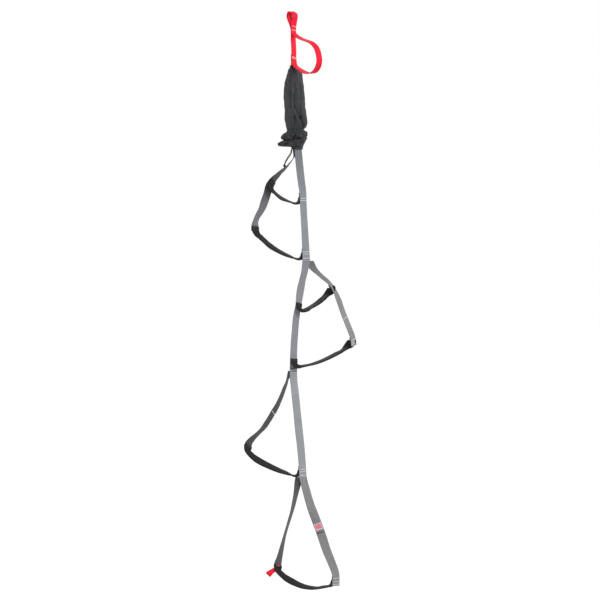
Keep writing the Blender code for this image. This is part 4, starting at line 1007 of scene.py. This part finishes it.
pull_look = woven("pull_tab_yarn", (0.84, 0.008, 0.024), rib=0.8, pick=1.0, edge=7, shade=0.4)
pull_row_lift = RAIL_THICK / 2 + CLEARANCE + SEWN_THICK + TACK_THICK
pull_row = thread_row("pull_tab_row", at_share(leg_4_left, PULL_ROW_SHARE), pull_row_lift, PULL_ROW_LENGTH,
                      red_look, PULL_ROW_HEIGHT)
placed(pull_row, "section_4", "pale_thread")
# The tape is narrow at its sewn end and opens out towards its fold.
pull_frames = []
for centre, travel, across, width in framed(smooth(pull_path), PULL_TAB_WIDTH):
    wider = PULL_TAB_END_SHARE + PULL_TAB_WIDER_SHARE * (centre - hinge).length / PULL_TAB_LENGTH
    pull_frames.append((centre, travel, across, width * wider))
pull_tab = lay_webbing("pull_tab_tape", pull_frames, PULL_TAB_THICK, pull_look)
placed(pull_tab, "pull_tab", "red_webbing", "pull_tab")


# Stuff sack
# Thin black nylon drawn over the spine: a long slack tube, tied at its neck, whose lower end is bunched in
# rolls above the gathered cuff of its mouth.
CUFF_BACK = 0.003
FLATTEN_SHARE = 0.766
WIDEST_SHARE = 0.92
SACK_WALL = 0.0005
SACK_GIRTH = 0.17
SACK_COLUMNS = 208
SACK_STEPS = 250
LEAST_FOLD = 0.35
# How far the slack cloth swells and wrinkles, how much further it does so in the bunch, and the ribs at its
# mouth.
SWELL = 0.0026
BUNCH_SWELL = 0.005
WRINKLE = 0.0012
BUNCH_WRINKLE = 0.0026
ROLL_HEIGHT = 0.0014
RIB_HEIGHT = 0.0004
RIBS = 22
# Where the bunch begins and where the mouth begins, in rows of the picture.
BUNCH_ROW = 127
MOUTH_ROW = 143
# Rows are (picture row, left side, right side, depth share of the width, share of the folds, tilt share), the
# first three in pixels of 2.8 mm.
SACK_ROWS = (
    (66.8, 290.4, 295.6, 0.62, 0, 0), (68.2, 289.5, 297.3, 0.62, 0.4, 0), (69.6, 288.7, 298.9, 0.66, 0.7, 0),
    (70.8, 288.1, 300.1, 0.68, 0.8, 0), (72.6, 287.7, 301.3, 0.72, 1, 0), (74.6, 287.2, 302.1, 0.76, 1, 0),
    (78, 286.4, 302.4, 0.82, 1, 0), (84, 284.9, 303, 0.88, 1, 0), (92, 284.3, 303.6, 0.92, 1, 0),
    (102, 284.3, 304.2, 0.92, 1, 0), (112, 285, 305, 0.92, 1, 0), (119, 285.5, 305.8, 0.9, 1.1, 0),
    (124, 286.2, 306.1, 0.9, 1.1, 0.02), (127.6, 286.9, 305.3, 0.86, 0.9, 0.06),
    (129.8, 287.5, 303.3, 0.84, 0.6, 0.1), (131.2, 286.6, 303.5, 0.84, 0.4, 0.12),
    (133.2, 283.4, 305.2, 0.84, 0.6, 0.14), (135.4, 282, 306, 0.82, 0.8, 0.15),
    (137.4, 282.6, 305.9, 0.8, 0.6, 0.16), (138.8, 284.2, 305.3, 0.78, 0.4, 0.17),
    (139.8, 281.2, 305.6, 0.76, 0.6, 0.15), (141.4, 279.2, 305.3, 0.74, 0.8, 0.14),
    (143.4, 278.9, 304.6, 0.72, 0.7, 0.12), (144.9, 280, 303.6, 0.68, 0.5, 0.1),
    (145.9, 283.4, 303, 0.6, 0.3, 0.06), (146.5, 288, 302.6, 0.52, 0.2, 0.03),
    (147, 291.2, 302.4, 0.5, 0.1, 0), (148, 291.9, 302.4, 0.52, 0.1, 0), (149.3, 292, 302.4, 0.52, 0.1, 0),
)
# Long creases: (angle in turns, top row, end row, half width in turns, drift in turns, depth in metres).
SACK_CREASES = (
    (0.6, 68, 112, 0.028, 0.03, -0.0026), (0.655, 74, 126, 0.022, -0.03, 0.0022),
    (0.7, 78, 131, 0.02, -0.05, -0.003), (0.745, 70, 118, 0.022, 0.03, 0.0026),
    (0.79, 84, 131, 0.02, -0.06, -0.0028), (0.835, 74, 126, 0.024, -0.03, 0.0024),
    (0.88, 69, 110, 0.022, 0.03, -0.0026), (0.93, 90, 130, 0.024, -0.06, 0.0024),
    (0.97, 76, 126, 0.022, 0.02, -0.0022), (0.05, 74, 118, 0.03, 0.04, 0.0022),
    (0.12, 70, 128, 0.022, 0.02, -0.0026), (0.18, 82, 131, 0.026, -0.03, 0.0024),
    (0.26, 70, 124, 0.028, 0.05, -0.0026), (0.34, 76, 130, 0.026, 0.02, 0.0024),
    (0.41, 70, 120, 0.024, -0.02, -0.0024), (0.48, 78, 130, 0.026, 0.02, 0.0022),
    (0.53, 84, 128, 0.022, -0.03, -0.0024), (0.63, 104, 133, 0.022, 0.15, 0.0052),
    (0.68, 108, 133, 0.02, 0.16, -0.0048), (0.84, 106, 132, 0.022, -0.15, 0.0046),
    (0.1, 112, 132, 0.03, 0.1, 0.0032), (0.66, 129, 147, 0.026, 0.22, 0.0075),
    (0.78, 129, 147, 0.02, -0.2, -0.0072), (0.58, 130, 146, 0.022, 0.16, -0.0064),
    (0.88, 130, 146, 0.03, 0.16, 0.0052), (0.2, 131, 146, 0.04, -0.12, 0.003),
    (0.35, 131, 146, 0.04, 0.1, -0.003),
)
# Painted shade: the bunch and mouth are darker than the tube above them, whose tone is 1.75 times theirs.
sack_look = woven("sack_nylon", (0.01, 0.0108, 0.013), rib=0.4, pick=0.4, edge=999, shade=0.22, patch=0.3,
                  depth=0.00003, sheen=0.04, fade=(1.75, -0.315, -0.345))
sack_look.node_tree.nodes["Principled BSDF"].inputs["Specular IOR Level"].default_value = 0.4


def sack_row(t):
    """The sack's outline at a share of its rows, smoothly between them."""
    i = min(int(t), len(SACK_ROWS) - 2)
    around = (SACK_ROWS[min(max(k, 0), len(SACK_ROWS) - 1)] for k in (i - 1, i, i + 1, i + 2))
    return [between(a, p, q, b, t - i) for a, p, q, b in zip(*around)]


def sack_ring(t):
    """One ring of the sack: its outline, its creases, slack cloth in the bunch and ribs at the mouth."""
    row, left, right, depth, fold, tilt = sack_row(t)
    half = (right - left) / 2 * PIXEL
    half /= math.sqrt(math.cos(LOOK) ** 2 + (depth * FLATTEN_SHARE * math.sin(LOOK) / WIDEST_SHARE) ** 2)
    deep = half * depth * FLATTEN_SHARE / WIDEST_SHARE
    mouth = min(1, max(0, (row - MOUTH_ROW) / 4))
    bunched = max(0, min(1, (row - BUNCH_ROW) / 4)) * (1 - mouth)
    rolls = max(0, min(1, (row - BUNCH_ROW - 2) / 3)) * (1 - mouth)
    square = 2.2 + 0.8 * mouth
    y = CUFF_BACK * mouth
    x = ((left + right) / 2 - EYE_COLUMN) * PIXEL / math.cos(LOOK) + y * math.tan(LOOK)
    z = -(row - EYE_ROW) * PIXEL
    ring = []
    for k in range(SACK_COLUMNS):
        turn = k / SACK_COLUMNS
        angle = 2 * math.pi * turn
        px, py = (
            math.copysign(abs(part) ** (2 / square), part) for part in (math.cos(angle), math.sin(angle))
        )
        out = 0.0
        for at, top, end, broad, drift, high in SACK_CREASES:
            run = (row - top) / (end - top)
            if -0.15 < run < 1.15:
                gap = (turn - at - drift * run + 0.5) % 1 - 0.5
                fade = max(0, 1 - (2 * run - 1) ** 4)
                out += high * fade * math.exp(-abs(gap / broad) ** 1.4)
        spot = Vector((px * 2.2, py * 2.2, row * 0.045))
        out += noise.noise(spot * 1.4) * (SWELL + BUNCH_SWELL * bunched)
        out += noise.noise(spot * 4.5 + Vector((7, 0, 0))) * (WRINKLE + BUNCH_WRINKLE * bunched)
        out += rolls * ROLL_HEIGHT * math.sin(angle * 5 + row * 0.7 + 2 * noise.noise(spot))
        out += mouth * RIB_HEIGHT * math.sin(angle * RIBS)
        out *= max(fold, LEAST_FOLD)
        ring.append(Vector((x + (half + out) * px, y + (deep + out) * py, z + tilt * half * px)))
    return ring


sack_rings = [sack_ring((len(SACK_ROWS) - 1) * i / SACK_STEPS) for i in range(SACK_STEPS + 1)]
sack_along = distances([sum(ring, Vector()) / SACK_COLUMNS for ring in sack_rings])
sack_around = [SACK_GIRTH * k / SACK_COLUMNS for k in range(SACK_COLUMNS + 1)]
sack = wrapped_grid("sack_cloth_tube", sack_rings, sack_along, sack_around, sack_look, ends=False)
walled(sack, SACK_WALL)
placed(sack, "section_1", "sack_cloth", "bag_shell", "bag_bunch", "bag_cuff")

# The neck is tied with three turns of thin cord and a short tail, which ends in a red tip.
TIE_RADIUS = 0.0008
TIE_HALF_WIDTH = 0.0098
TIE_HALF_DEPTH = 0.0044
TIE_FORWARD = 0.0006
TIE_DROP = 0.1506
TIE_PITCH = 0.00165
TIE_TURNS = 3
TIE_STEPS = 108
TIE_START = 2.6
TIE_TAIL = (
    (-0.0084, -0.003, -0.152), (-0.0108, -0.004, -0.1513), (-0.0128, -0.0044, -0.1517),
    (-0.0148, -0.0046, -0.1528),
)
TIP_REACHES = ((0, 0, 0), (-0.0018, -0.0002, -0.0006), (-0.0034, -0.0004, 0.0002))
TIP_SPACING = 0.0006
TIP_SHARE = 1.3
tie_path = []
for i in range(TIE_STEPS + 1):
    turn = TIE_TURNS * i / TIE_STEPS
    angle = 2 * math.pi * turn + TIE_START
    tie_path.append(Vector((
        TIE_HALF_WIDTH * math.cos(angle), TIE_HALF_DEPTH * math.sin(angle) - TIE_FORWARD,
        -TIE_DROP - TIE_PITCH * turn,
    )))
tail_path = curve_through([Vector(point) for point in TIE_TAIL], CORD_SPACING)
tip_path = curve_through([tail_path[-1] + Vector(reach) for reach in TIP_REACHES], TIP_SPACING)
for name, path, radius, look, slot, replaced in (
    ("neck_tie", tie_path, TIE_RADIUS, cord_look, "black_cord", ["bag_tie"]),
    ("neck_tie_tail", tail_path, TIE_RADIUS, cord_look, "black_cord", []),
    ("neck_tie_tip", tip_path, TIE_RADIUS * TIP_SHARE, red_look, "red_webbing", []),
):
    placed(round_cord(name, path, radius, look, sides=8), "section_1", slot, *replaced)


# Studio
# A plain pale floor under the hanging ladder, soft lamps at both sides and a bright room. The room and floor
# are white where the camera, a gloss or a glass sees them.
FLOOR_HEIGHT = -1.8
FLOOR_SIZE = 90
LIT_HEIGHT = -0.75
bpy.ops.mesh.primitive_plane_add(size=FLOOR_SIZE, location=(0, 0, FLOOR_HEIGHT))
floor = bpy.context.object
floor.name = "floor"


def shown(tree):
    """1 where the camera, a gloss or a glass looks."""
    rays = tree.nodes.new("ShaderNodeLightPath").outputs
    return maths(tree, "MAXIMUM", rays["Is Camera Ray"],
                 maths(tree, "MAXIMUM", rays["Is Glossy Ray"], rays["Is Transmission Ray"]))


floor_look = bpy.data.materials.new("pale_floor")
floor_look.use_nodes = True
floor_tree = floor_look.node_tree
floor_tree.nodes.clear()
matte = node(floor_tree, "BsdfDiffuse", (0.86, 0.86, 0.86, 1))
bright = node(floor_tree, "Emission", (1, 1, 1, 1), 1.2)
blended = node(floor_tree, "MixShader", maths(floor_tree, "MULTIPLY", shown(floor_tree), 0.8), matte, bright)
floor_tree.links.new(blended, floor_tree.nodes.new("ShaderNodeOutputMaterial").inputs["Surface"])
floor.data.materials.append(floor_look)

room = bpy.data.worlds.new("room")
bpy.context.scene.world = room
room.use_nodes = True
room_tree = room.node_tree
room_tree.nodes.clear()
dim = node(room_tree, "Background", (1, 1, 1, 1), 0.5)
clear = node(room_tree, "Background", (1, 1, 1, 1), 1.0)
room_mix = node(room_tree, "MixShader", shown(room_tree), dim, clear)
room_tree.links.new(room_mix, room_tree.nodes.new("ShaderNodeOutputWorld").inputs["Surface"])

for name, place, size, power in (
    ("right_lamp", (1.9, -2.9, 1.3), 1.6, 92), ("left_lamp", (-2.9, 0.0, 0.4), 2.0, 42),
    ("back_lamp", (0.6, 3.2, 0.8), 2.0, 20),
):
    bpy.ops.object.light_add(type="AREA", location=place)
    lamp = bpy.context.object
    lamp.name = name
    lamp.data.size = size
    lamp.data.energy = power
    lamp.rotation_euler = (Vector((0, 0, LIT_HEIGHT)) - Vector(place)).to_track_quat("-Z", "Y").to_euler()

bpy.context.scene.view_settings.view_transform = "Standard"
bpy.context.view_layer.update()
